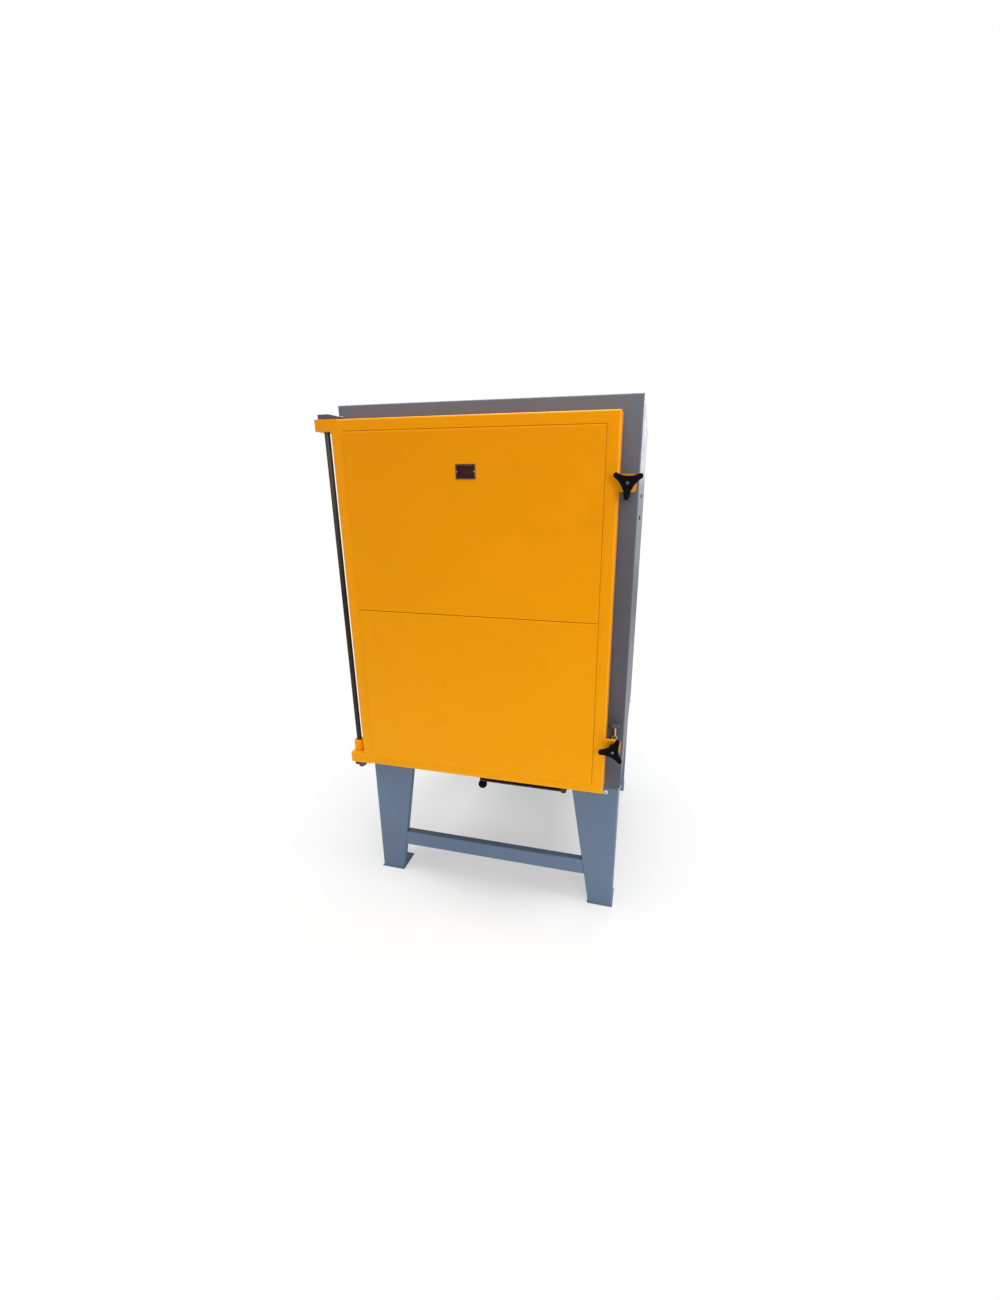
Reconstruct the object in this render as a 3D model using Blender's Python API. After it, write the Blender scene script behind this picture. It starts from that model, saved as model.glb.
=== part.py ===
"""Electric chamber furnace on a four-legged stand, built from named sizes.

Units are metres, +Z is up and the door faces -Y. In the construction frame x = 0 is the body's
centre plane, y = 0 the body's front face and z = 0 the floor. One parent empty, furnace_origin,
shifts all of it, so that the origin of the finished object is the middle of its footprint box.
"""
import math

import bmesh
import bpy

# Gaps and clearances
SEAT_GAP = 0.0003            # between pieces that touch
HINGE_CLEARANCE = 0.0004     # round the hinge rod, on the radius
EAR_GAP = 0.003              # between a hinge ear and its bracket
PLUG_CLEARANCE = 0.012       # between the door plug and the mouth, all round
SCREW_HOLE_CLEARANCE = 0.001
TRUNNION_CLEARANCE = 0.002   # round the clamp screw inside its trunnion

# Door leaf and the body round it
DOOR_WIDTH = 0.919
DOOR_HEIGHT = 1.230
DOOR_LEFT_INSET = 0.0234     # from the body's left side
DOOR_RIGHT_INSET = 0.0576    # from the body's right side
DOOR_BOTTOM_LIFT = 0.030     # from the body's bottom
DOOR_TOP_DROP = 0.054        # from the body's top
BODY_WIDTH = DOOR_LEFT_INSET + DOOR_WIDTH + DOOR_RIGHT_INSET
BODY_HEIGHT = DOOR_BOTTOM_LIFT + DOOR_HEIGHT + DOOR_TOP_DROP
BODY_DEPTH = 0.931
UNDERSIDE = 0.532            # height of the body's bottom over the floor

# Body casing
SHEET = 0.003
FRAME_SHEET = 0.004
FRAME_RIM = 0.030
FRAME_CORNER = 0.005
CASING_FOLD = 0.002

# Lining and chamber
SIDE_LINING = 0.200          # from the body's side to the chamber
FLOOR_LINING = 0.190
ROOF_LINING = 0.190
BACK_LINING = 0.170
COLLAR_DEPTH = 0.075
MOUTH_FLARE = 0.010          # how much wider the mouth is at the front, each side
HEARTH_THICKNESS = 0.018
HEARTH_MARGIN = 0.030

# Heating elements
ELEMENT_RUNS = 12
ELEMENT_RADIUS = 0.004
ELEMENT_END_MARGIN = 0.110   # from the chamber floor and roof to the outer runs
ELEMENT_FRONT_MARGIN = 0.045
ELEMENT_TAIL = 0.045         # how far the tails stand out behind the back sheet
ELEMENT_HOLE_CLEARANCE = 0.003
RACK_BACK = 0.010            # thickness of the ceramic posts behind the teeth
RACK_TOOTH = 0.014
RACK_TOOTH_HEIGHT = 0.010
RACK_LIP = 0.004
RACK_POST_WIDTH = 0.028
RACK_TIE_HEIGHT = 0.030
RACK_POSTS = 3

# Terminal cover on the back
COVER_SIDE_MARGIN = 0.110    # from the body's sides
COVER_END_MARGIN = 0.215     # from the body's top and bottom
COVER_DEPTH = 0.070
COVER_SHEET = 0.002
COVER_CHAMFER = 0.020

# Stand
LEG_INSET = 0.006            # from the body's side to the leg's outer face
LEG_SETBACK = 0.002          # from the body's front to the leg's front face
LEG_TOP_WIDTH = 0.175
LEG_FOOT_WIDTH = 0.094
LEG_LIP = 0.024
LEG_SHEET = 0.004
FOOT_PLATE = 0.004
FOOT_OVERHANG = 0.003
CROSSBAR_BOTTOM = 0.132
CROSSBAR_HEIGHT = 0.064
CROSSBAR_DEPTH = 0.028
CROSSBAR_SHEET = 0.003

# Door
DOOR_GAP = 0.008             # between the door's back and the body's front
DOOR_THICKNESS = 0.084
DOOR_RAIL = 0.054
DOOR_EDGE = 0.006
PANEL_LEFT_MARGIN = 0.044    # from the door's edge to the cover sheets
PANEL_RIGHT_MARGIN = 0.039
PANEL_TOP_MARGIN = 0.037
PANEL_BOTTOM_MARGIN = 0.035
PANEL_THICKNESS = 0.0025
PANEL_SEAM_SHARE = 0.497     # height of the seam as a share of the door's height
PANEL_LAP = 0.0012           # how much further the lower sheet stands out
PLUG_REACH = 0.055           # how far the plug goes past the body's front
PLUG_FLANGE_MARGIN = 0.003
SEAL_WIDTH = 0.022
SEAL_MARGIN = 0.020          # from the mouth's edge to the seal
SEAL_CORNER = 0.003

# Hinge
ROD_RADIUS = 0.009
ROD_LEFT = 0.0105            # from the body's left side, outwards
ROD_BEHIND_FRONT = 0.034     # from the door's front face
EAR_END = 0.020              # from the rod's axis to the ear's end
UPPER_EAR_HEIGHT = 0.036
LOWER_EAR_HEIGHT = 0.040
EAR_BACK_RADIUS = 0.030
BOSS_RADIUS = 0.020
BOSS_HEIGHT = 0.042
BOSS_CHAMFER = 0.003
UPPER_BRACKET_THICKNESS = 0.014
LOWER_BRACKET_THICKNESS = 0.020
BRACKET_INNER_REACH = 0.014  # past the body's left side, over the front face
BRACKET_NOSE = 0.018         # from the rod's axis to the bracket's front
BRACKET_CORNER = 0.006
NUT_RADIUS = 0.0115
NUT_HEIGHT = 0.015
NUT_DOME = 0.005

# Clamps
CLAMP_FROM_RIGHT = 0.029     # from the body's right side to the clamp axis
UPPER_CLAMP_DROP = 0.1965    # from the door's top to the upper clamp axis
LOWER_CLAMP_LIFT = 0.186     # from the door's bottom to the lower clamp axis
LUG_REACH = 0.052
LUG_HEIGHT = 0.050
LUG_THICKNESS = 0.010
LUG_CORNER = 0.010
LUG_ROOT = 0.015             # how far the lug's plate runs into the door rail
SCREW_RADIUS = 0.0045
SCREW_COLLAR_RADIUS = 0.009
SCREW_COLLAR = 0.004
SCREW_TIP_GAP = 0.0035       # between the screw's tip and the bracket's web
KNOB_HUB_RADIUS = 0.0145
KNOB_STAND = 0.022           # hub length between the lug and the star
KNOB_STAR = 0.016
KNOB_REACH = 0.0410          # from the axis to the centre of an arm's tip
KNOB_TIP_RADIUS = 0.006
KNOB_WAIST = 0.0172          # from the axis to the hollow between two arms
KNOB_ROUNDING = 0.003
UPPER_KNOB_ANGLE = -92.0
LOWER_KNOB_ANGLE = -51.6
FORK_WIDTH = 0.027
FORK_REACH = 0.031
FORK_INNER_GAP = 0.043       # from the clamp axis to the plate nearer the door's middle
FORK_OUTER_GAP = 0.019       # from the clamp axis to the other plate
FORK_PLATE = 0.004
TRUNNION_PIN_RADIUS = 0.0038
TRUNNION_EYE_RADIUS = 0.0095
TRUNNION_EYE_WIDTH = 0.011
TRUNNION_FORWARD = 0.018     # from the body's front to the trunnion's axis
TRUNNION_END = 0.0012        # how far the pin ends inside the fork's plates

# Name plate
PLATE_WIDTH = 0.064
PLATE_HEIGHT = 0.044
PLATE_THICKNESS = 0.0015
PLATE_OFF_CENTRE = 0.0045    # from the door's middle to the plate's centre, to the left
PLATE_FROM_TOP = 0.162

# Damper lever
LEVER_FROM_RIGHT = 0.210     # from the body's right side to the pivot
LEVER_LENGTH = 0.3215
LEVER_Y = 0.014
LEVER_WIDTH = 0.022
LEVER_THICKNESS = 0.006
LEVER_DROP = 0.038           # from the body's bottom to the bar's top
BALL_RADIUS = 0.017
BALL_NECK_RADIUS = 0.006
BALL_DROP = 0.018            # from the bar's underside to the ball's centre
PIVOT_RADIUS = 0.006
PIVOT_FLANGE_RADIUS = 0.014
PIVOT_HEAD_RADIUS = 0.010
PIVOT_HEAD = 0.006
PIVOT_CLEARANCE = 0.0004

# Facets
ROUND_SIDES = 24
SMALL_SIDES = 16
CORNER_STEPS = 4

# Places worked out from the sizes
BODY_LEFT = -BODY_WIDTH / 2
BODY_RIGHT = BODY_WIDTH / 2
BODY_TOP = UNDERSIDE + BODY_HEIGHT
DOOR_BACK = -DOOR_GAP
DOOR_FRONT = DOOR_BACK - DOOR_THICKNESS
DOOR_LEFT = BODY_LEFT + DOOR_LEFT_INSET
DOOR_RIGHT = DOOR_LEFT + DOOR_WIDTH
DOOR_BOTTOM = UNDERSIDE + DOOR_BOTTOM_LIFT
DOOR_TOP = DOOR_BOTTOM + DOOR_HEIGHT
ROD_X = BODY_LEFT - ROD_LEFT
ROD_Y = DOOR_FRONT + ROD_BEHIND_FRONT
EAR_X = ROD_X - EAR_END
CLAMP_X = BODY_RIGHT - CLAMP_FROM_RIGHT
UPPER_CLAMP_Z = DOOR_TOP - UPPER_CLAMP_DROP
LOWER_CLAMP_Z = DOOR_BOTTOM + LOWER_CLAMP_LIFT
INNER = SHEET + SEAT_GAP
CASING_FRONT = FRAME_RIM + SEAT_GAP
CASING_BACK = BODY_DEPTH - INNER
CHAMBER_FRONT = FRAME_SHEET + SEAT_GAP + COLLAR_DEPTH
CHAMBER_BACK = CASING_BACK - BACK_LINING
FLOOR_Z = UNDERSIDE + INNER + FLOOR_LINING
ROOF_Z = BODY_TOP - INNER - ROOF_LINING
HALF_CHAMBER = BODY_WIDTH / 2 - SIDE_LINING
HALF_MOUTH = HALF_CHAMBER + MOUTH_FLARE
MOUTH_BOTTOM = FLOOR_Z - MOUTH_FLARE
MOUTH_TOP = ROOF_Z + MOUTH_FLARE
KNOB_BACK = DOOR_FRONT - SEAT_GAP
KNOB_STAR_BACK = KNOB_BACK - KNOB_STAND
KNOB_FRONT = KNOB_STAR_BACK - KNOB_STAR
COVER_BACK = BODY_DEPTH + SEAT_GAP + COVER_DEPTH
LEVER_PIVOT_X = BODY_RIGHT - LEVER_FROM_RIGHT
LEVER_TOP = UNDERSIDE - LEVER_DROP
LEVER_BOTTOM = LEVER_TOP - LEVER_THICKNESS

YELLOW = (0.83, 0.34, 0.006, 1.0)
GREY = (0.15, 0.155, 0.17, 1.0)
STAND_GREY = (0.13, 0.17, 0.22, 1.0)
STEEL = (0.55, 0.56, 0.57, 1.0)
BLACK = (0.012, 0.012, 0.014, 1.0)
BRICK = (0.82, 0.78, 0.70, 1.0)
CERAMIC = (0.86, 0.85, 0.82, 1.0)
CARBIDE = (0.16, 0.15, 0.14, 1.0)
ELEMENT = (0.20, 0.17, 0.15, 1.0)
ROPE = (0.80, 0.79, 0.74, 1.0)
PLATE = (0.03, 0.028, 0.028, 1.0)


def clear_scene():
    """Remove every object that the file opened with."""
    for item in list(bpy.data.objects):
        bpy.data.objects.remove(item, do_unlink=True)


def paint(name, colour, roughness, metallic=0.0):
    """A Principled material of one colour."""
    material = bpy.data.materials.new(name)
    material.use_nodes = True
    shader = material.node_tree.nodes["Principled BSDF"]
    shader.inputs["Base Color"].default_value = colour
    shader.inputs["Roughness"].default_value = roughness
    shader.inputs["Metallic"].default_value = metallic
    material.diffuse_color = colour
    return material


def empty(name, place, parent=None):
    """An empty at a place of the construction frame."""
    axis = bpy.data.objects.new(name, None)
    bpy.context.collection.objects.link(axis)
    axis["place"] = place
    axis.location = place
    if parent is not None:
        attach(axis, parent)
    return axis


def attach(item, parent):
    """Parent an object to an empty and keep its place in the construction frame."""
    item.parent = parent
    base = parent["place"]
    item.location = [item.location[k] - base[k] for k in range(3)]


def finish(name, mesh_maker, material, parent, smooth=0.0):
    """Make one named object out of a bmesh, with outward faces, on its parent empty."""
    mesh_maker.faces.ensure_lookup_table()
    bmesh.ops.recalc_face_normals(mesh_maker, faces=mesh_maker.faces)
    mesh = bpy.data.meshes.new(name)
    mesh_maker.to_mesh(mesh)
    mesh_maker.free()
    item = bpy.data.objects.new(name, mesh)
    bpy.context.collection.objects.link(item)
    item.data.materials.append(material)
    if smooth > 0.0:
        mesh.shade_smooth()
        mesh.set_sharp_from_angle(angle=math.radians(smooth))
    attach(item, parent)
    return item


def cutter(name, mesh_maker, parent):
    """A hidden solid that a Boolean modifier uses."""
    bmesh.ops.recalc_face_normals(mesh_maker, faces=mesh_maker.faces)
    mesh = bpy.data.meshes.new(name)
    mesh_maker.to_mesh(mesh)
    mesh_maker.free()
    item = bpy.data.objects.new(name, mesh)
    bpy.context.collection.objects.link(item)
    item.hide_render = True
    item.display_type = "WIRE"
    attach(item, parent)
    return item


def combine(item, tool, operation):
    """Add one live Boolean to an object."""
    boolean = item.modifiers.new(tool.name, "BOOLEAN")
    boolean.operation = operation
    boolean.solver = "EXACT"
    boolean.object = tool


def block(low, high):
    """A box between two corners."""
    maker = bmesh.new()
    size = [high[k] - low[k] for k in range(3)]
    middle = [(high[k] + low[k]) / 2 for k in range(3)]
    bmesh.ops.create_cube(maker, size=1.0)
    bmesh.ops.scale(maker, vec=size, verts=maker.verts)
    bmesh.ops.translate(maker, vec=middle, verts=maker.verts)
    return maker


def prism(outline, place, start, end):
    """Extrude a closed outline; place(u, v, depth) gives the point in space."""
    maker = bmesh.new()
    verts = [maker.verts.new(place(u, v, start)) for u, v in outline]
    face = maker.faces.new(verts)
    grown = bmesh.ops.extrude_face_region(maker, geom=[face])
    step = [b - a for a, b in zip(place(0.0, 0.0, start), place(0.0, 0.0, end))]
    moved = [item for item in grown["geom"] if isinstance(item, bmesh.types.BMVert)]
    bmesh.ops.translate(maker, vec=step, verts=moved)
    return maker


def in_plan(u, v, depth):
    """Outline in x and y, extruded up."""
    return (u, v, depth)


def in_front(u, v, depth):
    """Outline in x and z, extruded along y."""
    return (u, depth, v)


def in_side(u, v, depth):
    """Outline in y and z, extruded along x."""
    return (depth, u, v)


def arc(centre, radius, start, end, steps):
    """Points of an arc, angles in degrees."""
    points = []
    for index in range(steps + 1):
        angle = math.radians(start + (end - start) * index / steps)
        points.append((centre[0] + radius * math.cos(angle), centre[1] + radius * math.sin(angle)))
    return points


def circle(centre, radius, sides):
    """A closed round outline."""
    return arc(centre, radius, 0.0, 360.0 - 360.0 / sides, sides - 1)


def turned(profile, centre, axis, sides):
    """Turn a profile of (radius, height) pairs once round an axis through centre.

    A radius of 0 at both ends gives a solid; otherwise the profile closes on itself as a ring.
    """
    maker = bmesh.new()
    closed = profile[0][0] > 0.0 and profile[-1][0] > 0.0
    rings = []
    for radius, height in profile:
        if radius == 0.0:
            rings.append([maker.verts.new(turn_point(0.0, 0.0, height, centre, axis))])
            continue
        ring = []
        for index in range(sides):
            angle = 2 * math.pi * index / sides
            across = radius * math.cos(angle)
            along = radius * math.sin(angle)
            ring.append(maker.verts.new(turn_point(across, along, height, centre, axis)))
        rings.append(ring)
    pairs = list(zip(rings, rings[1:]))
    if closed:
        pairs.append((rings[-1], rings[0]))
    for one, two in pairs:
        for index in range(sides):
            after = (index + 1) % sides
            corners = [one[index % len(one)], one[after % len(one)], two[after % len(two)], two[index % len(two)]]
            unique = []
            for corner in corners:
                if corner not in unique:
                    unique.append(corner)
            if len(unique) > 2:
                maker.faces.new(unique)
    return maker


def turn_point(across, along, height, centre, axis):
    """A point of a turned shape whose axis runs along y or z."""
    if axis == "z":
        return (centre[0] + across, centre[1] + along, centre[2] + height)
    return (centre[0] + across, centre[1] + height, centre[2] + along)


def swept_frame(left, right, bottom, top, profile):
    """Run a closed profile of (inset, y) pairs round an upright rectangle."""
    maker = bmesh.new()
    rings = []
    for side_x, side_z in ((-1, -1), (1, -1), (1, 1), (-1, 1)):
        ring = []
        for inset, depth in profile:
            x = left + inset if side_x < 0 else right - inset
            z = bottom + inset if side_z < 0 else top - inset
            ring.append(maker.verts.new((x, depth, z)))
        rings.append(ring)
    count = len(profile)
    for corner in range(4):
        one = rings[corner]
        two = rings[(corner + 1) % 4]
        for index in range(count):
            after = (index + 1) % count
            maker.faces.new((one[index], one[after], two[after], two[index]))
    return maker


# Casing

def build_casing(root):
    """Front pan with its rim and mouth, and the five casing sheets behind it."""
    mouth_inset = BODY_WIDTH / 2 - HALF_MOUTH
    corner = [(FRAME_CORNER - x, FRAME_CORNER - y) for x, y in arc((0.0, 0.0), FRAME_CORNER, 0.0, 90.0, CORNER_STEPS)]
    profile = [(0.0, FRAME_RIM)] + corner + [(mouth_inset, 0.0), (mouth_inset, FRAME_SHEET)]
    profile += [(FRAME_SHEET, FRAME_SHEET), (FRAME_SHEET, FRAME_RIM)]
    pan = swept_frame(BODY_LEFT, BODY_RIGHT, UNDERSIDE, BODY_TOP, profile)
    fit_mouth_height(pan)
    finish("front_frame", pan, paint("front_frame", GREY, 0.4), root, smooth=40)

    sides = {"left_side_sheet": (BODY_LEFT, BODY_LEFT + SHEET), "right_side_sheet": (BODY_RIGHT - SHEET, BODY_RIGHT)}
    for name, (low, high) in sides.items():
        outline = rounded_ends(low, high, UNDERSIDE, BODY_TOP, CASING_FOLD if low < 0 else -CASING_FOLD)
        sheet = prism(outline, in_front, CASING_FRONT, CASING_BACK - SEAT_GAP)
        finish(name, sheet, paint(name, GREY, 0.4), root)
    inner_x = BODY_RIGHT - INNER
    levels = {"top_sheet": (BODY_TOP - SHEET, BODY_TOP), "bottom_sheet": (UNDERSIDE, UNDERSIDE + SHEET)}
    for name, (low, high) in levels.items():
        sheet = block((-inner_x, CASING_FRONT, low), (inner_x, CASING_BACK - SEAT_GAP, high))
        finish(name, sheet, paint(name, GREY, 0.4), root)
    back = block((BODY_LEFT, CASING_BACK, UNDERSIDE), (BODY_RIGHT, BODY_DEPTH, BODY_TOP))
    back_sheet = finish("back_sheet", back, paint("back_sheet", GREY, 0.45), root)
    return back_sheet


def fit_mouth_height(pan):
    """Move the inner edge of the pan from an even inset to the mouth's own height."""
    for vert in pan.verts:
        if abs(abs(vert.co.x) - HALF_MOUTH) < SEAT_GAP:
            vert.co.z = MOUTH_TOP if vert.co.z > (UNDERSIDE + BODY_TOP) / 2 else MOUTH_BOTTOM


def rounded_ends(low, high, bottom, top, fold):
    """A thin upright section whose outer corners are broken by the sheet's fold."""
    size = abs(fold)
    if fold > 0:
        return [(high, bottom), (high, top), (low + size, top), (low, top - size), (low, bottom + size), (low + size, bottom)]
    return [(low, bottom), (high - size, bottom), (high, bottom + size), (high, top - size), (high - size, top), (low, top)]


def build_terminal_cover(root):
    """A plain sheet cover over the heating terminals."""
    low = UNDERSIDE + COVER_END_MARGIN
    high = BODY_TOP - COVER_END_MARGIN
    start = BODY_DEPTH + SEAT_GAP
    outer = [(start, low), (COVER_BACK - COVER_CHAMFER, low), (COVER_BACK, low + COVER_CHAMFER)]
    outer += [(COVER_BACK, high - COVER_CHAMFER), (COVER_BACK - COVER_CHAMFER, high), (start, high)]
    inside_chamfer = COVER_CHAMFER - COVER_SHEET / 2
    back = COVER_BACK - COVER_SHEET
    hollow = [(start - COVER_SHEET, low + COVER_SHEET), (back - inside_chamfer, low + COVER_SHEET)]
    hollow += [(back, low + COVER_SHEET + inside_chamfer), (back, high - COVER_SHEET - inside_chamfer)]
    hollow += [(back - inside_chamfer, high - COVER_SHEET), (start - COVER_SHEET, high - COVER_SHEET)]
    half = BODY_WIDTH / 2 - COVER_SIDE_MARGIN
    cover = finish("terminal_cover", prism(outer, in_side, -half, half), paint("terminal_cover", GREY, 0.45), root)
    inner = cutter("cutter_terminal_cover", prism(hollow, in_side, COVER_SHEET - half, half - COVER_SHEET), root)
    combine(cover, inner, "DIFFERENCE")


# Lining and heating

def build_lining(root):
    """Refractory walls round the chamber and the collar round its mouth."""
    side = BODY_RIGHT - INNER - SEAT_GAP
    start = CHAMBER_FRONT + SEAT_GAP
    end = CHAMBER_BACK - SEAT_GAP
    bottom = UNDERSIDE + INNER
    top = BODY_TOP - INNER
    walls = {
        "floor_lining": ((-side, start, bottom), (side, end, FLOOR_Z)),
        "roof_lining": ((-side, start, ROOF_Z), (side, end, top)),
        "left_lining": ((-side, start, FLOOR_Z + SEAT_GAP), (-HALF_CHAMBER, end, ROOF_Z - SEAT_GAP)),
        "right_lining": ((HALF_CHAMBER, start, FLOOR_Z + SEAT_GAP), (side, end, ROOF_Z - SEAT_GAP)),
        "back_lining": ((-side, CHAMBER_BACK, bottom), (side, CASING_BACK - SEAT_GAP, top)),
    }
    made = {}
    for name, (low, high) in walls.items():
        made[name] = finish(name, block(low, high), paint(name, BRICK, 0.9), root)

    rim = BODY_RIGHT - FRAME_SHEET - SEAT_GAP
    front = FRAME_SHEET + SEAT_GAP
    low_z = UNDERSIDE + FRAME_SHEET + SEAT_GAP
    high_z = BODY_TOP - FRAME_SHEET - SEAT_GAP
    collar = finish(
        "mouth_collar",
        block((-rim, front, low_z), (rim, CHAMBER_FRONT, high_z)),
        paint("mouth_collar", BRICK, 0.85),
        root,
    )
    combine(collar, cutter("cutter_mouth", mouth_solid(0.0, front - COLLAR_DEPTH, 2 * COLLAR_DEPTH), root), "DIFFERENCE")

    plate = block(
        (HEARTH_MARGIN - HALF_CHAMBER, CHAMBER_FRONT + HEARTH_MARGIN, FLOOR_Z + SEAT_GAP),
        (HALF_CHAMBER - HEARTH_MARGIN, CHAMBER_BACK - HEARTH_MARGIN, FLOOR_Z + SEAT_GAP + HEARTH_THICKNESS),
    )
    finish("hearth_plate", plate, paint("hearth_plate", CARBIDE, 0.7), root)
    return made["back_lining"]


def mouth_solid(clearance, start, end):
    """The tapered space of the mouth, less a clearance, between two depths."""
    maker = bmesh.new()
    rings = []
    for depth in (start, end):
        flare = MOUTH_FLARE * (CHAMBER_FRONT - depth) / COLLAR_DEPTH
        half = HALF_CHAMBER + flare - clearance
        low = FLOOR_Z - flare + clearance
        high = ROOF_Z + flare - clearance
        corners = ((-half, low), (half, low), (half, high), (-half, high))
        rings.append([maker.verts.new((x, depth, z)) for x, z in corners])
    maker.faces.new(rings[0])
    maker.faces.new(rings[1])
    for index in range(4):
        after = (index + 1) % 4
        maker.faces.new((rings[0][index], rings[0][after], rings[1][after], rings[1][index]))
    return maker


def element_levels():
    """Heights of the element's runs over the floor."""
    low = FLOOR_Z + ELEMENT_END_MARGIN
    high = ROOF_Z - ELEMENT_END_MARGIN
    return [low + (high - low) * index / (ELEMENT_RUNS - 1) for index in range(ELEMENT_RUNS)]


def element_path(x):
    """One serpentine: level runs joined by half-circle bends, with both tails out at the back."""
    levels = element_levels()
    bend = (levels[1] - levels[0]) / 2
    front = CHAMBER_FRONT + ELEMENT_FRONT_MARGIN + bend
    back = CHAMBER_BACK - ELEMENT_FRONT_MARGIN - bend
    tail = BODY_DEPTH + ELEMENT_TAIL
    points = [(x, tail, levels[0])]
    for index in range(ELEMENT_RUNS - 1):
        middle = levels[index] + bend
        if index % 2 == 0:
            turn = arc((front, middle), bend, -90.0, -270.0, 6)
        else:
            turn = arc((back, middle), bend, -90.0, 90.0, 6)
        points += [(x, y, z) for y, z in turn]
    points.append((x, tail, levels[-1]))
    return points


def build_heating(root, back_lining, back_sheet):
    """A serpentine element and its toothed ceramic rack on each side wall."""
    levels = element_levels()
    for name, side in (("left", -1), ("right", 1)):
        wall = HALF_CHAMBER - SEAT_GAP
        rod_x = side * (wall - RACK_BACK - SEAT_GAP - ELEMENT_RADIUS)
        curve = bpy.data.curves.new(name + "_heating_element", "CURVE")
        curve.dimensions = "3D"
        curve.bevel_depth = ELEMENT_RADIUS
        curve.bevel_resolution = 1
        curve.use_fill_caps = True
        path = element_path(rod_x)
        spline = curve.splines.new("POLY")
        spline.points.add(len(path) - 1)
        for point, place in zip(spline.points, path):
            point.co = (*place, 1.0)
        rod = bpy.data.objects.new(name + "_heating_element", curve)
        bpy.context.collection.objects.link(rod)
        curve.materials.append(paint(name + "_heating_element", ELEMENT, 0.6, 0.6))
        attach(rod, root)
        build_rack(root, name, side, levels)
        for tag, level in (("low", levels[0]), ("high", levels[-1])):
            hole_radius = ELEMENT_RADIUS + ELEMENT_HOLE_CLEARANCE
            outline = circle((rod_x, level), hole_radius, SMALL_SIDES)
            tool = cutter(
                "cutter_" + name + "_" + tag,
                prism(outline, in_front, CHAMBER_BACK - COVER_DEPTH, BODY_DEPTH + COVER_DEPTH),
                root,
            )
            combine(back_lining, tool, "DIFFERENCE")
            combine(back_sheet, tool, "DIFFERENCE")


def build_rack(root, name, side, levels):
    """Upright ceramic posts with hooked teeth under every run, tied at both ends."""
    wall = HALF_CHAMBER - SEAT_GAP
    face = wall - RACK_BACK
    nose = face - RACK_TOOTH
    low = levels[0] - ELEMENT_RADIUS - RACK_TOOTH_HEIGHT - RACK_TIE_HEIGHT
    high = levels[-1] + ELEMENT_RADIUS + RACK_TOOTH_HEIGHT + RACK_TIE_HEIGHT
    outline = [(side * wall, low), (side * face, low)]
    for level in levels:
        seat = level - ELEMENT_RADIUS - SEAT_GAP
        outline.append((side * face, seat - RACK_TOOTH_HEIGHT))
        outline.append((side * nose, seat - RACK_TOOTH_HEIGHT / 2))
        outline.append((side * nose, seat + RACK_LIP))
        outline.append((side * (nose + RACK_LIP), seat + RACK_LIP))
        outline.append((side * (nose + RACK_LIP), seat))
        outline.append((side * face, seat))
    outline += [(side * face, high), (side * wall, high)]
    start = CHAMBER_FRONT + 2 * ELEMENT_FRONT_MARGIN
    end = CHAMBER_BACK - 2 * ELEMENT_FRONT_MARGIN
    pitch = (end - start - RACK_POST_WIDTH) / (RACK_POSTS - 1)
    rack = finish(
        name + "_element_rack",
        prism(outline, in_front, start, start + RACK_POST_WIDTH),
        paint(name + "_element_rack", CERAMIC, 0.8),
        root,
    )
    for index in range(1, RACK_POSTS):
        post_start = start + pitch * index
        post = prism(outline, in_front, post_start, post_start + RACK_POST_WIDTH)
        combine(rack, cutter("cutter_" + name + "_post_" + str(index), post, root), "UNION")
    for tag, tie_low in (("bottom", low), ("top", high - RACK_TIE_HEIGHT)):
        inner_x = side * face
        outer_x = side * wall
        tie = block(
            (min(inner_x, outer_x), start, tie_low),
            (max(inner_x, outer_x), end, tie_low + RACK_TIE_HEIGHT),
        )
        combine(rack, cutter("cutter_" + name + "_tie_" + tag, tie, root), "UNION")


# Stand

def leg_section(width, lip, sheet):
    """Folded section of a leg, from its outer corner, inwards in u and v."""
    outer = [(width, lip), (width, 0.0), (0.0, 0.0), (0.0, width), (lip, width)]
    inner = [(lip, width - sheet), (sheet, width - sheet), (sheet, sheet), (width - sheet, sheet), (width - sheet, lip)]
    return outer + inner


def build_stand(root):
    """Four folded tapered legs on foot plates, and the two crossbars between them."""
    leg_x = BODY_WIDTH / 2 - LEG_INSET
    ends = (("front", LEG_SETBACK, 1), ("rear", BODY_DEPTH - LEG_SETBACK, -1))
    for end_name, corner_y, towards in ends:
        for side_name, side in (("left", -1), ("right", 1)):
            name = end_name + "_" + side_name + "_leg"
            maker = bmesh.new()
            rings = []
            for level, width in ((FOOT_PLATE / 2, LEG_FOOT_WIDTH), (UNDERSIDE - SEAT_GAP, LEG_TOP_WIDTH)):
                section = leg_section(width, LEG_LIP, LEG_SHEET)
                ring = [maker.verts.new((side * (leg_x - u), corner_y + towards * v, level)) for u, v in section]
                rings.append(ring)
            count = len(rings[0])
            maker.faces.new(rings[0])
            maker.faces.new(rings[1])
            for index in range(count):
                after = (index + 1) % count
                maker.faces.new((rings[0][index], rings[0][after], rings[1][after], rings[1][index]))
            leg = finish(name, maker, paint(name, STAND_GREY, 0.42), root)
            outer_x = side * (leg_x + FOOT_OVERHANG)
            inner_x = side * (leg_x - LEG_FOOT_WIDTH - FOOT_OVERHANG)
            near_y = corner_y - towards * FOOT_OVERHANG
            far_y = corner_y + towards * (LEG_FOOT_WIDTH + FOOT_OVERHANG)
            plate = block(
                (min(outer_x, inner_x), min(near_y, far_y), 0.0),
                (max(outer_x, inner_x), max(near_y, far_y), FOOT_PLATE),
            )
            combine(leg, cutter("cutter_" + name, plate, root), "UNION")
        build_crossbar(root, end_name + "_crossbar", corner_y, towards)


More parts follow.
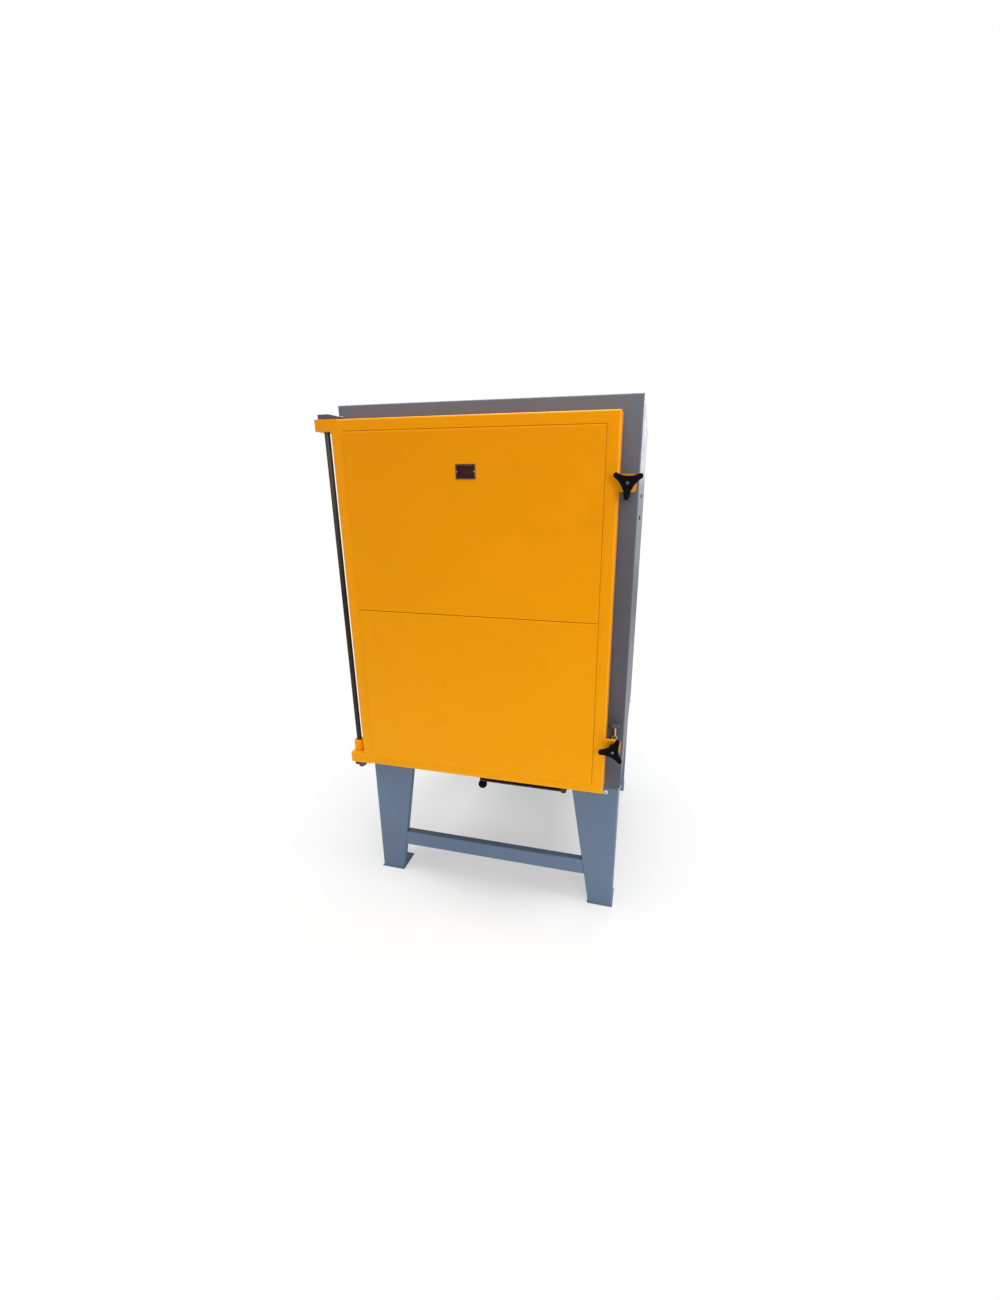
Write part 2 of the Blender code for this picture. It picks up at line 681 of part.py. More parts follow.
def leg_inner_edge(level):
    """Half the width between the legs' inner edges at a height."""
    share = (level - FOOT_PLATE / 2) / (UNDERSIDE - SEAT_GAP - FOOT_PLATE / 2)
    width = LEG_FOOT_WIDTH + (LEG_TOP_WIDTH - LEG_FOOT_WIDTH) * share
    return BODY_WIDTH / 2 - LEG_INSET - width


def build_crossbar(root, name, corner_y, towards):
    """A folded channel, its ends cut to the slope of the legs."""
    top = CROSSBAR_BOTTOM + CROSSBAR_HEIGHT
    low_in = CROSSBAR_BOTTOM + CROSSBAR_SHEET
    high_in = top - CROSSBAR_SHEET
    section = [(0.0, CROSSBAR_BOTTOM), (0.0, top), (CROSSBAR_DEPTH, top), (CROSSBAR_DEPTH, high_in)]
    section += [(CROSSBAR_SHEET, high_in), (CROSSBAR_SHEET, low_in), (CROSSBAR_DEPTH, low_in)]
    section += [(CROSSBAR_DEPTH, CROSSBAR_BOTTOM)]
    maker = bmesh.new()
    rings = []
    for side in (-1, 1):
        ring = []
        for depth, level in section:
            x = side * (leg_inner_edge(level) - SEAT_GAP)
            ring.append(maker.verts.new((x, corner_y + towards * depth, level)))
        rings.append(ring)
    count = len(section)
    maker.faces.new(rings[0])
    maker.faces.new(rings[1])
    for index in range(count):
        after = (index + 1) % count
        maker.faces.new((rings[0][index], rings[0][after], rings[1][after], rings[1][index]))
    finish(name, maker, paint(name, STAND_GREY, 0.42), root)


# Hinge

def bracket_outline():
    """Plan of a hinge bracket: square where it meets the body, its outer front corner rounded."""
    back = -SEAT_GAP
    inner = BODY_LEFT + BRACKET_INNER_REACH
    outer = EAR_X
    front = ROD_Y - BRACKET_NOSE
    points = [(inner, back), (outer, back)]
    points += arc((outer + BRACKET_CORNER, front + BRACKET_CORNER), BRACKET_CORNER, 180.0, 270.0, CORNER_STEPS)
    points.append((inner, front))
    return points


def build_hinge(root):
    """Two brackets on the body, the rod between them and its nut."""
    upper_low = DOOR_TOP + EAR_GAP
    upper_high = upper_low + UPPER_BRACKET_THICKNESS
    lower_high = DOOR_BOTTOM - EAR_GAP
    lower_low = lower_high - LOWER_BRACKET_THICKNESS
    bore = ROD_RADIUS + SEAT_GAP
    spans = {"upper_hinge_bracket": (upper_low, upper_high), "lower_hinge_bracket": (lower_low, lower_high)}
    for name, (low, high) in spans.items():
        bracket = finish(name, prism(bracket_outline(), in_plan, low, high), paint(name, GREY, 0.45), root, smooth=40)
        hole = prism(circle((ROD_X, ROD_Y), bore, ROUND_SIDES), in_plan, low - EAR_GAP, high + EAR_GAP)
        combine(bracket, cutter("cutter_" + name, hole, root), "DIFFERENCE")
    washer = [(bore, 0.0), (BOSS_RADIUS - BOSS_CHAMFER, 0.0), (BOSS_RADIUS - BOSS_CHAMFER, EAR_GAP - 2 * SEAT_GAP)]
    washer.append((bore, EAR_GAP - 2 * SEAT_GAP))
    thrust = turned(washer, (ROD_X, ROD_Y, lower_high + SEAT_GAP), "z", ROUND_SIDES)
    finish("thrust_washer", thrust, paint("thrust_washer", STEEL, 0.3, 1.0), root, smooth=40)
    rod_bottom = lower_low - NUT_HEIGHT + NUT_DOME + SEAT_GAP
    rod = turned(
        [(0.0, rod_bottom), (ROD_RADIUS, rod_bottom), (ROD_RADIUS, upper_high), (0.0, upper_high)],
        (ROD_X, ROD_Y, 0.0),
        "z",
        ROUND_SIDES,
    )
    finish("hinge_rod", rod, paint("hinge_rod", STEEL, 0.28, 1.0), root, smooth=40)
    build_rod_nut(root, lower_low - SEAT_GAP, rod_bottom - SEAT_GAP, bore)


def build_rod_nut(root, top, hole_end, bore):
    """A domed nut on the rod's lower end."""
    bottom = top - NUT_HEIGHT
    profile = [(0.0, hole_end), (bore, hole_end), (bore, top), (NUT_RADIUS, top), (NUT_RADIUS, bottom + NUT_DOME)]
    for index in range(1, CORNER_STEPS):
        angle = math.radians(90.0 * index / CORNER_STEPS)
        profile.append((NUT_RADIUS * math.cos(angle), bottom + NUT_DOME - NUT_DOME * math.sin(angle)))
    profile.append((0.0, bottom))
    nut = turned(profile, (ROD_X, ROD_Y, 0.0), "z", SMALL_SIDES)
    finish("hinge_rod_nut", nut, paint("hinge_rod_nut", GREY, 0.4, 0.5), root, smooth=40)


# Door

def ear_outline():
    """Plan of a hinge ear: the door's front line, a square end and a back rounded about the rod."""
    start = DOOR_LEFT + DOOR_RAIL / 2
    points = [(start, DOOR_FRONT), (EAR_X, DOOR_FRONT)]
    swing = math.degrees(math.acos(EAR_END / EAR_BACK_RADIUS))
    points += arc((ROD_X, ROD_Y), EAR_BACK_RADIUS, 180.0 - swing, 90.0, CORNER_STEPS + 2)
    points.append((start, ROD_Y + EAR_BACK_RADIUS))
    return points


def lug_outline(level):
    """Front view of a clamp lug, square where it meets the door rail."""
    right = DOOR_RIGHT + LUG_REACH
    low = level - LUG_HEIGHT / 2
    high = level + LUG_HEIGHT / 2
    points = [(DOOR_RIGHT - LUG_ROOT, low)]
    points += arc((right - LUG_CORNER, low + LUG_CORNER), LUG_CORNER, -90.0, 0.0, CORNER_STEPS)
    points += arc((right - LUG_CORNER, high - LUG_CORNER), LUG_CORNER, 0.0, 90.0, CORNER_STEPS)
    points.append((DOOR_RIGHT - LUG_ROOT, high))
    return points


def build_door(axis):
    """Frame with ears and lugs, cover sheets, boss, name plate, lining and seal."""
    corner = arc((DOOR_EDGE, DOOR_FRONT + DOOR_EDGE), DOOR_EDGE, 180.0, 270.0, CORNER_STEPS)
    profile = [(0.0, DOOR_BACK)] + corner + [(DOOR_RAIL, DOOR_FRONT), (DOOR_RAIL, DOOR_BACK)]
    frame = finish(
        "door_frame",
        swept_frame(DOOR_LEFT, DOOR_RIGHT, DOOR_BOTTOM, DOOR_TOP, profile),
        paint("door_frame", YELLOW, 0.35),
        axis,
        smooth=40,
    )
    bore = ROD_RADIUS + HINGE_CLEARANCE
    ears = (("upper", DOOR_TOP - UPPER_EAR_HEIGHT, DOOR_TOP), ("lower", DOOR_BOTTOM, DOOR_BOTTOM + LOWER_EAR_HEIGHT))
    for tag, low, high in ears:
        combine(frame, cutter("cutter_" + tag + "_ear", prism(ear_outline(), in_plan, low, high), axis), "UNION")
    for tag, level in (("upper", UPPER_CLAMP_Z), ("lower", LOWER_CLAMP_Z)):
        lug = prism(lug_outline(level), in_front, DOOR_FRONT, DOOR_FRONT + LUG_THICKNESS)
        combine(frame, cutter("cutter_" + tag + "_lug", lug, axis), "UNION")
        outline = circle((CLAMP_X, level), SCREW_RADIUS + SCREW_HOLE_CLEARANCE, SMALL_SIDES)
        hole = prism(outline, in_front, DOOR_FRONT - LUG_THICKNESS, DOOR_FRONT + 2 * LUG_THICKNESS)
        combine(frame, cutter("cutter_" + tag + "_lug_hole", hole, axis), "DIFFERENCE")
    shaft = prism(circle((ROD_X, ROD_Y), bore, ROUND_SIDES), in_plan, DOOR_BOTTOM - EAR_GAP, DOOR_TOP + EAR_GAP)
    combine(frame, cutter("cutter_ear_bore", shaft, axis), "DIFFERENCE")

    boss_low = DOOR_BOTTOM + LOWER_EAR_HEIGHT + SEAT_GAP
    boss = [(bore, 0.0), (BOSS_RADIUS, 0.0), (BOSS_RADIUS, BOSS_HEIGHT - BOSS_CHAMFER)]
    boss += [(BOSS_RADIUS - BOSS_CHAMFER, BOSS_HEIGHT), (bore, BOSS_HEIGHT)]
    made = turned(boss, (ROD_X, ROD_Y, boss_low), "z", ROUND_SIDES)
    finish("lower_hinge_boss", made, paint("lower_hinge_boss", YELLOW, 0.35), axis, smooth=40)
    build_cover_sheets(axis)
    build_door_lining(axis)


def build_cover_sheets(axis):
    """Two sheets that stand proud of the frame, and the plate riveted to the upper one."""
    left = DOOR_LEFT + PANEL_LEFT_MARGIN
    right = DOOR_RIGHT - PANEL_RIGHT_MARGIN
    bottom = DOOR_BOTTOM + PANEL_BOTTOM_MARGIN
    top = DOOR_TOP - PANEL_TOP_MARGIN
    seam = DOOR_BOTTOM + DOOR_HEIGHT * PANEL_SEAM_SHARE
    back = DOOR_FRONT - SEAT_GAP
    sheets = {
        "lower_cover_sheet": (bottom, seam, PANEL_THICKNESS + PANEL_LAP),
        "upper_cover_sheet": (seam + SEAT_GAP, top, PANEL_THICKNESS),
    }
    for name, (low, high, thickness) in sheets.items():
        sheet = block((left, back - thickness, low), (right, back, high))
        finish(name, sheet, paint(name, YELLOW, 0.35), axis)
    face = back - PANEL_THICKNESS - SEAT_GAP
    x = (DOOR_LEFT + DOOR_RIGHT) / 2 - PLATE_OFF_CENTRE
    z = DOOR_TOP - PLATE_FROM_TOP
    plate = block(
        (x - PLATE_WIDTH / 2, face - PLATE_THICKNESS, z - PLATE_HEIGHT / 2),
        (x + PLATE_WIDTH / 2, face, z + PLATE_HEIGHT / 2),
    )
    finish("name_plate", plate, paint("name_plate", PLATE, 0.4, 0.3), axis)


def build_door_lining(axis):
    """Insulation that fills the frame and ends in the tapered plug, and the rope seal round it."""
    rail = DOOR_RAIL + SEAT_GAP
    fill = block(
        (DOOR_LEFT + rail, DOOR_FRONT + SEAT_GAP, DOOR_BOTTOM + rail),
        (DOOR_RIGHT - rail, DOOR_BACK, DOOR_TOP - rail),
    )
    lining = finish("door_lining", fill, paint("door_lining", BRICK, 0.9), axis)
    plug = mouth_solid(PLUG_CLEARANCE, DOOR_BACK - DOOR_THICKNESS / 2, PLUG_REACH)
    combine(lining, cutter("cutter_plug", plug, axis), "UNION")

    inset = SEAL_MARGIN + SEAL_WIDTH
    start = DOOR_BACK + SEAT_GAP
    end = -SEAT_GAP
    profile = [(0.0, start), (SEAL_WIDTH, start), (SEAL_WIDTH, end - SEAL_CORNER), (SEAL_WIDTH - SEAL_CORNER, end)]
    profile += [(SEAL_CORNER, end), (0.0, end - SEAL_CORNER)]
    seal = swept_frame(-HALF_MOUTH - inset, HALF_MOUTH + inset, MOUTH_BOTTOM - inset, MOUTH_TOP + inset, profile)
    finish("door_seal", seal, paint("door_seal", ROPE, 0.95), axis)


# Clamps

def build_clamp_fixed(root, name, level, inward):
    """A fork on the body's front and the trunnion between its plates.

    inward is 1 where the door's middle lies above the clamp, else -1.
    """
    web = -SEAT_GAP - FORK_PLATE
    nose = -SEAT_GAP - FORK_REACH
    near = level + inward * FORK_INNER_GAP
    far = level - inward * FORK_OUTER_GAP
    near_out = near + inward * FORK_PLATE
    far_out = far - inward * FORK_PLATE
    outline = [(-SEAT_GAP, far_out), (-SEAT_GAP, near_out), (nose, near_out), (nose, near)]
    outline += [(web, near), (web, far), (nose, far), (nose, far_out)]
    half = FORK_WIDTH / 2
    fork = finish(
        name + "_clamp_fork",
        prism(outline, in_side, CLAMP_X - half, CLAMP_X + half),
        paint(name + "_clamp_fork", GREY, 0.4),
        root,
    )
    centre = (CLAMP_X, -TRUNNION_FORWARD)
    hole = circle(centre, TRUNNION_PIN_RADIUS + SEAT_GAP, SMALL_SIDES)
    low = min(near_out, far_out)
    high = max(near_out, far_out)
    pin_hole = prism(hole, in_plan, low - FORK_PLATE, high + FORK_PLATE)
    combine(fork, cutter("cutter_" + name + "_fork", pin_hole, root), "DIFFERENCE")

    trunnion = finish(
        name + "_trunnion",
        prism(circle(centre, TRUNNION_PIN_RADIUS, SMALL_SIDES), in_plan, low + TRUNNION_END, high - TRUNNION_END),
        paint(name + "_trunnion", STEEL, 0.3, 1.0),
        root,
        smooth=40,
    )
    eye_front = -TRUNNION_FORWARD - TRUNNION_EYE_WIDTH / 2
    eye = prism(circle((CLAMP_X, level), TRUNNION_EYE_RADIUS, ROUND_SIDES), in_front, eye_front, eye_front + TRUNNION_EYE_WIDTH)
    combine(trunnion, cutter("cutter_" + name + "_eye", eye, root), "UNION")
    outline = circle((CLAMP_X, level), SCREW_RADIUS + TRUNNION_CLEARANCE, SMALL_SIDES)
    cross_hole = prism(outline, in_front, -2 * TRUNNION_FORWARD, 0.0)
    combine(trunnion, cutter("cutter_" + name + "_trunnion", cross_hole, root), "DIFFERENCE")


def star_outline(level, angle):
    """Three tapered arms with round tips, joined by hollow arcs."""
    reach = KNOB_REACH + KNOB_TIP_RADIUS * math.cos(math.radians(80.0))
    side = KNOB_TIP_RADIUS * math.sin(math.radians(80.0))
    apart = math.radians(60.0) - math.atan2(side, reach)
    along = math.hypot(reach, side) * math.cos(apart) - KNOB_WAIST
    across = math.hypot(reach, side) * math.sin(apart)
    hollow = (along ** 2 + across ** 2) / (2.0 * along)
    spread = math.degrees(math.asin(across / hollow))
    points = []
    for arm in range(3):
        middle = angle + 120.0 * arm
        tip = turned_away(level, KNOB_REACH, middle)
        points += arc(tip, KNOB_TIP_RADIUS, middle - 80.0, middle + 80.0, CORNER_STEPS)
        between = middle + 60.0
        centre = turned_away(level, KNOB_WAIST + hollow, between)
        points += arc(centre, hollow, between + 180.0 + spread, between + 180.0 - spread, CORNER_STEPS + 4)[1:-1]
    return points


def turned_away(level, distance, angle):
    """A point at a distance and angle from a clamp's axis, in the front view."""
    across = math.radians(angle)
    return (CLAMP_X + distance * math.cos(across), level + distance * math.sin(across))


def build_clamp_moving(axis, name, level, angle):
    """The star knob and the screw that it turns."""
    star = prism(star_outline(level, angle), in_front, KNOB_FRONT, KNOB_STAR_BACK)
    rims = [edge for edge in star.edges if abs(edge.verts[0].co.y - edge.verts[1].co.y) < SEAT_GAP]
    bmesh.ops.bevel(
        star,
        geom=rims,
        offset=KNOB_ROUNDING,
        offset_type="OFFSET",
        segments=2,
        profile=0.5,
        affect="EDGES",
        material=-1,
        clamp_overlap=True,
    )
    knob = finish(name + "_star_knob", star, paint(name + "_star_knob", BLACK, 0.35), axis, smooth=35)
    hub = prism(circle((CLAMP_X, level), KNOB_HUB_RADIUS, ROUND_SIDES), in_front, KNOB_STAR_BACK - KNOB_STAR / 2, KNOB_BACK)
    combine(knob, cutter("cutter_" + name + "_hub", hub, axis), "UNION")
    bore = circle((CLAMP_X, level), SCREW_RADIUS + SEAT_GAP, SMALL_SIDES)
    hole = prism(bore, in_front, KNOB_FRONT - KNOB_STAR, KNOB_BACK + KNOB_STAR)
    combine(knob, cutter("cutter_" + name + "_knob_bore", hole, axis), "DIFFERENCE")

    tip = -SEAT_GAP - FORK_PLATE - SCREW_TIP_GAP
    collar = DOOR_FRONT + LUG_THICKNESS + SEAT_GAP
    profile = [(0.0, KNOB_FRONT), (SCREW_RADIUS, KNOB_FRONT), (SCREW_RADIUS, collar), (SCREW_COLLAR_RADIUS, collar)]
    profile += [(SCREW_COLLAR_RADIUS, collar + SCREW_COLLAR), (SCREW_RADIUS, collar + SCREW_COLLAR)]
    profile += [(SCREW_RADIUS, tip), (0.0, tip)]
    screw = turned(profile, (CLAMP_X, 0.0, level), "y", SMALL_SIDES)
    finish(name + "_clamp_screw", screw, paint(name + "_clamp_screw", STEEL, 0.3, 1.0), axis, smooth=40)


# Damper lever

def build_lever(root, axis):
    """A flat bar on a stud under the body, with a ball knob under its free end."""
    flange = (PIVOT_FLANGE_RADIUS, UNDERSIDE - SEAT_GAP)
    under = LEVER_TOP + SEAT_GAP
    head = LEVER_BOTTOM - SEAT_GAP
    profile = [(0.0, flange[1]), flange, (PIVOT_FLANGE_RADIUS, under), (PIVOT_RADIUS, under), (PIVOT_RADIUS, head)]
    profile += [(PIVOT_HEAD_RADIUS, head), (PIVOT_HEAD_RADIUS, head - PIVOT_HEAD), (0.0, head - PIVOT_HEAD)]
    stud = turned(profile, (LEVER_PIVOT_X, LEVER_Y, 0.0), "z", SMALL_SIDES)
    finish("lever_pivot", stud, paint("lever_pivot", STEEL, 0.4, 0.8), root, smooth=40)

    half = LEVER_WIDTH / 2
    left = LEVER_PIVOT_X - LEVER_LENGTH
    outline = arc((LEVER_PIVOT_X, LEVER_Y), half, -90.0, 90.0, 2 * CORNER_STEPS)
    outline += arc((left, LEVER_Y), half, 90.0, 270.0, 2 * CORNER_STEPS)
    bar = finish("lever_bar", prism(outline, in_plan, LEVER_BOTTOM, LEVER_TOP), paint("lever_bar", BLACK, 0.4), axis)
    hole = circle((LEVER_PIVOT_X, LEVER_Y), PIVOT_RADIUS + PIVOT_CLEARANCE, SMALL_SIDES)
    tool = cutter("cutter_lever", prism(hole, in_plan, head, under), axis)
    combine(bar, tool, "DIFFERENCE")

    top = LEVER_BOTTOM - SEAT_GAP
    centre = LEVER_BOTTOM - BALL_DROP
    start = math.degrees(math.asin(BALL_NECK_RADIUS / BALL_RADIUS))
    profile = [(0.0, top), (BALL_NECK_RADIUS, top)]
    for index in range(SMALL_SIDES // 2 + 1):
        angle = math.radians(start + (180.0 - start) * index / (SMALL_SIDES // 2))
        radius = BALL_RADIUS * math.sin(angle) if index < SMALL_SIDES // 2 else 0.0
        profile.append((radius, centre + BALL_RADIUS * math.cos(angle)))
    ball = turned(profile, (left, LEVER_Y, 0.0), "z", ROUND_SIDES)
    finish("lever_ball", ball, paint("lever_ball", BLACK, 0.25), axis, smooth=60)


def footprint_centre():
    """Middle of the object's box in plan, from the sizes that reach furthest."""
    reaches = []
    for angle in (UPPER_KNOB_ANGLE, LOWER_KNOB_ANGLE):
        for arm in range(3):
            turn = math.radians(angle + 120.0 * arm)
            reaches.append(CLAMP_X + KNOB_REACH * math.cos(turn) + KNOB_TIP_RADIUS)
    right = max(reaches + [BODY_RIGHT])
    return ((EAR_X + right) / 2, (KNOB_FRONT + COVER_BACK) / 2)


def main():
    """Build the furnace."""
    clear_scene()
    root = empty("furnace_origin", (0.0, 0.0, 0.0))
    door_axis = empty("door_hinge_axis", (ROD_X, ROD_Y, 0.0), root)
    upper_axis = empty("upper_knob_axis", (CLAMP_X, KNOB_FRONT, UPPER_CLAMP_Z), door_axis)
    lower_axis = empty("lower_knob_axis", (CLAMP_X, KNOB_FRONT, LOWER_CLAMP_Z), door_axis)
    lever_axis = empty("lever_pivot_axis", (LEVER_PIVOT_X, LEVER_Y, 0.0), root)

    back_sheet = build_casing(root)
    build_terminal_cover(root)
    back_lining = build_lining(root)
    build_heating(root, back_lining, back_sheet)
    build_stand(root)
    build_hinge(root)
    build_door(door_axis)
    build_clamp_fixed(root, "upper", UPPER_CLAMP_Z, -1)
    build_clamp_fixed(root, "lower", LOWER_CLAMP_Z, 1)
    build_clamp_moving(upper_axis, "upper", UPPER_CLAMP_Z, UPPER_KNOB_ANGLE)
    build_clamp_moving(lower_axis, "lower", LOWER_CLAMP_Z, LOWER_KNOB_ANGLE)
    build_lever(root, lever_axis)

    centre_x, centre_y = footprint_centre()
    root.location = (-centre_x, -centre_y, 0.0)


main()
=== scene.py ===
"""Looks of an electric chamber furnace: enamelled casing, brick chamber, hung door, clamps and stand.

Units are metres, +Z is up and the door faces -Y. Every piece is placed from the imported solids.
"""
import logging
import math
import random
from collections.abc import Iterable, Sequence
from dataclasses import dataclass, field
from enum import Enum

import bmesh
import bpy
from bmesh.types import BMEdge, BMesh, BMVert
from bpy.types import ID, Material, Mesh, Node, NodeSocket, NodeTree, Object
from mathutils import Matrix, Vector


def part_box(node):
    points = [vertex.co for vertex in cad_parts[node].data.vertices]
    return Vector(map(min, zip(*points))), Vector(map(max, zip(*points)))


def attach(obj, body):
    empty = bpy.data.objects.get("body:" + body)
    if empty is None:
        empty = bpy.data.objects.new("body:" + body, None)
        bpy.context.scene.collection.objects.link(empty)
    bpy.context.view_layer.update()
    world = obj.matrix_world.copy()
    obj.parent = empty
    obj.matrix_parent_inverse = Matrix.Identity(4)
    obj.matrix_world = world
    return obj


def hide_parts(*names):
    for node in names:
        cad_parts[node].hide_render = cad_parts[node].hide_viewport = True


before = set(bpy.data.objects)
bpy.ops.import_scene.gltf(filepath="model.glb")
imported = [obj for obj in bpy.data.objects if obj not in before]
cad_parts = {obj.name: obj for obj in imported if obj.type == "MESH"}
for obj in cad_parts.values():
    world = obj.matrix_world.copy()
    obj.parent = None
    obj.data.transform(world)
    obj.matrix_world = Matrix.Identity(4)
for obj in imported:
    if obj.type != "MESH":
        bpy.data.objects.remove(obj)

LOG = logging.getLogger("furnace")
Colour = tuple[float, float, float]
Point = tuple[float, float, float]
Span = tuple[float, float]
Profile = list[Span]
Ring = list[BMEdge]

FRONT: Point = (0.0, -1.0, 0.0)
BACK: Point = (0.0, 1.0, 0.0)
LEFT: Point = (-1.0, 0.0, 0.0)
RIGHT: Point = (1.0, 0.0, 0.0)
WHOLE: Span = (0.0, 1.0)
NOWHERE = Matrix.Identity(4)
MERGE = 1e-5
SAME_PLANE = math.radians(0.6)
SHARP = math.radians(30.0)
ROUND = 60.0
BEND_STEP = 15.0


class Body(Enum):
    """The moving bodies of the furnace, by the names that the frame gives them."""

    FURNACE = "furnace"
    DOOR = "door"
    UPPER_KNOB = "upper_knob"
    LOWER_KNOB = "lower_knob"
    LEVER = "lever"


class Graph:
    """A node tree, with short ways to add nodes and feed them."""

    def __init__(self, tree: NodeTree) -> None:
        """Take over a tree."""
        self.tree = tree

    def node(self, kind: str, inputs: dict, **settings: str) -> Node:
        """Add a node.

        Args:
            kind: The node's type name.
            inputs: Sockets or values for its inputs, by name or index.
            **settings: Values of the node's own settings.

        Returns:
            The new node.
        """
        made = self.tree.nodes.new(kind)
        for key, value in settings.items():
            setattr(made, key, value)
        self.feed(made, inputs)
        return made

    def feed(self, node: Node, inputs: dict) -> None:
        """Link sockets to a node's inputs, or set the inputs' values.

        Args:
            node: The node.
            inputs: Sockets or values, by the input's name or index.
        """
        for key, value in inputs.items():
            if isinstance(value, NodeSocket):
                self.tree.links.new(value, node.inputs[key])
            else:
                node.inputs[key].default_value = value

    def spread(self, value: NodeSocket, source: Span, target: Span = WHOLE) -> NodeSocket:
        """Move a value from a source range to a target range, and clamp it."""
        ends = zip(("From Min", "From Max", "To Min", "To Max"), (*source, *target))
        return self.node("ShaderNodeMapRange", {"Value": value, **dict(ends)}).outputs[0]

    def math(self, operation: str, one: object, two: object = 0.0) -> NodeSocket:
        """One step of arithmetic on two values."""
        return self.node("ShaderNodeMath", {0: one, 1: two}, operation=operation).outputs[0]


class Surface(Graph):
    """The shader graph of one material."""

    def __init__(self, name: str, inputs: dict) -> None:
        """Start a material with its Principled shader.

        Args:
            name: The material's name.
            inputs: Values of the shader's own inputs, by name.
        """
        self.material = bpy.data.materials.new(name)
        self.material.use_nodes = True
        super().__init__(self.material.node_tree)
        self.shader = self.tree.nodes["Principled BSDF"]
        self.feed(self.shader, inputs)
        self.place = self.node("ShaderNodeTexCoord", {}).outputs["Object"]

    def axis(self, letter: str) -> NodeSocket:
        """One of the object coordinates."""
        return self.node("ShaderNodeSeparateXYZ", {"Vector": self.place}).outputs[letter]

    def noise(self, scale: float, detail: float = 2.0, along: Point | None = None) -> NodeSocket:
        """Noise from 0 to 1.

        Args:
            scale: Waves per metre.
            detail: Octaves of finer noise.
            along: Factor on each coordinate, if any.

        Returns:
            The noise's value.
        """
        vector = self.place
        if along is not None:
            vector = self.node("ShaderNodeMapping", {"Vector": vector, "Scale": along}).outputs[0]
        inputs = {"Vector": vector, "Scale": scale, "Detail": detail}
        return self.node("ShaderNodeTexNoise", inputs).outputs["Fac"]

    def cells(self, scale: float) -> NodeSocket:
        """Distance to the nearest of many scattered points."""
        return self.node("ShaderNodeTexVoronoi", {"Vector": self.place, "Scale": scale}).outputs["Distance"]

    def mixed(self, share: object, one: object, two: object) -> NodeSocket:
        """Blend two colours, inputs 6 and 7 of the node; a share of 0 gives the first."""
        pair = [(*colour, 1.0) if isinstance(colour, tuple) else colour for colour in (one, two)]
        return self.node("ShaderNodeMix", {0: share, 6: pair[0], 7: pair[1]}, data_type="RGBA").outputs[2]

    def over(
        self, under: object, mask: NodeSocket, source: Span, above: object, share: Span = WHOLE
    ) -> NodeSocket:
        """Lay one colour over another, with its share spread over a mask's range."""
        return self.mixed(self.spread(mask, source, share), under, above)

    def relief(self, height: NodeSocket, depth: float, under: NodeSocket | None = None) -> NodeSocket:
        """Turn a height from 0 to 1 into a normal.

        Args:
            height: The height.
            depth: Metres from a height of 0 to a height of 1.
            under: A normal that this one is laid over.

        Returns:
            The normal.
        """
        inputs = {"Height": height, "Distance": depth, "Strength": 1.0}
        if under is not None:
            inputs["Normal"] = under
        return self.node("ShaderNodeBump", inputs).outputs[0]

    def done(self, colour: NodeSocket, gloss: NodeSocket | float, normal: NodeSocket) -> Material:
        """Feed the shader's colour, roughness and normal and hand the material over."""
        self.feed(self.shader, {"Base Color": colour, "Roughness": gloss, "Normal": normal})
        return self.material


def shade(colour: Colour, factor: float) -> Colour:
    """A colour made lighter or darker by a factor."""
    return tuple(min(1.0, part * factor) for part in colour)


@dataclass(frozen=True)
class Enamel:
    """Sprayed satin enamel on sheet steel, with a faint orange peel and smudges; a foot colour adds painted
    light and shade that change with height.
    """

    name: str
    colour: Colour
    roughness: float = 0.34
    specular: float = 0.35
    drift: float = 0.05
    tint: Colour = (1.0, 1.0, 1.0)
    # foot: painted light and shade, the colour at the lower height, blended into the main colour by the upper
    # one.
    foot: Colour | None = None
    heights: Span = (0.55, 1.80)
    drift_scale: float = 2.4
    smudge_scale: float = 16.0
    wave_scale: float = 6.0
    wave: float = 0.0003
    peel_scale: float = 380.0
    peel: float = 0.00005

    def make(self) -> Material:
        """Build the material.

        Returns:
            The enamel.
        """
        graph = Surface(self.name, {"Specular IOR Level": self.specular, "Specular Tint": (*self.tint, 1.0)})
        dark, light = shade(self.colour, 1.0 - self.drift), shade(self.colour, 1.0 + self.drift)
        tone = graph.over(dark, graph.noise(self.drift_scale), (0.35, 0.65), light)
        # Painted light and shade: from the foot colour at the lower height to the main colour at the upper
        # one.
        if self.foot is not None:
            tone = graph.over(self.foot, graph.axis("Z"), self.heights, tone)
        smudge = graph.noise(self.smudge_scale, 6.0)
        tone = graph.over(tone, smudge, (0.52, 0.74), shade(self.colour, 0.82), (0.0, 0.10))
        gloss = graph.spread(smudge, (0.35, 0.75), (self.roughness - 0.05, self.roughness + 0.09))
        wavy = graph.relief(graph.noise(self.wave_scale, 1.0), self.wave)
        return graph.done(tone, gloss, graph.relief(graph.noise(self.peel_scale), self.peel, wavy))


@dataclass(frozen=True)
class Steel:
    """Bare or plated steel with fine working marks along or round its axis."""

    name: str
    colour: Colour
    tarnish: Colour
    marks: Point
    roughness: float
    rim: float = 1.0
    grain: float = 0.0
    mark_scale: float = 60.0
    mark_depth: float = 0.00003
    stain_scale: float = 45.0

    def make(self) -> Material:
        """Build the material.

        Returns:
            The steel.
        """
        graph = Surface(self.name, {"Metallic": 1.0, "Specular Tint": (self.rim, self.rim, self.rim, 1.0)})
        if self.grain > 0.0:
            around = graph.node("ShaderNodeTangent", {}, direction_type="RADIAL", axis="Z").outputs[0]
            graph.feed(graph.shader, {"Anisotropic": self.grain, "Tangent": around})
        marks = graph.noise(self.mark_scale, 3.0, self.marks)
        colour = graph.over(shade(self.colour, 0.86), marks, (0.3, 0.7), self.colour)
        colour = graph.over(colour, graph.noise(self.stain_scale, 4.0), (0.5, 0.75), self.tarnish, (0.0, 0.6))
        gloss = graph.spread(marks, (0.3, 0.7), (self.roughness - 0.06, self.roughness + 0.08))
        return graph.done(colour, gloss, graph.relief(marks, self.mark_depth))


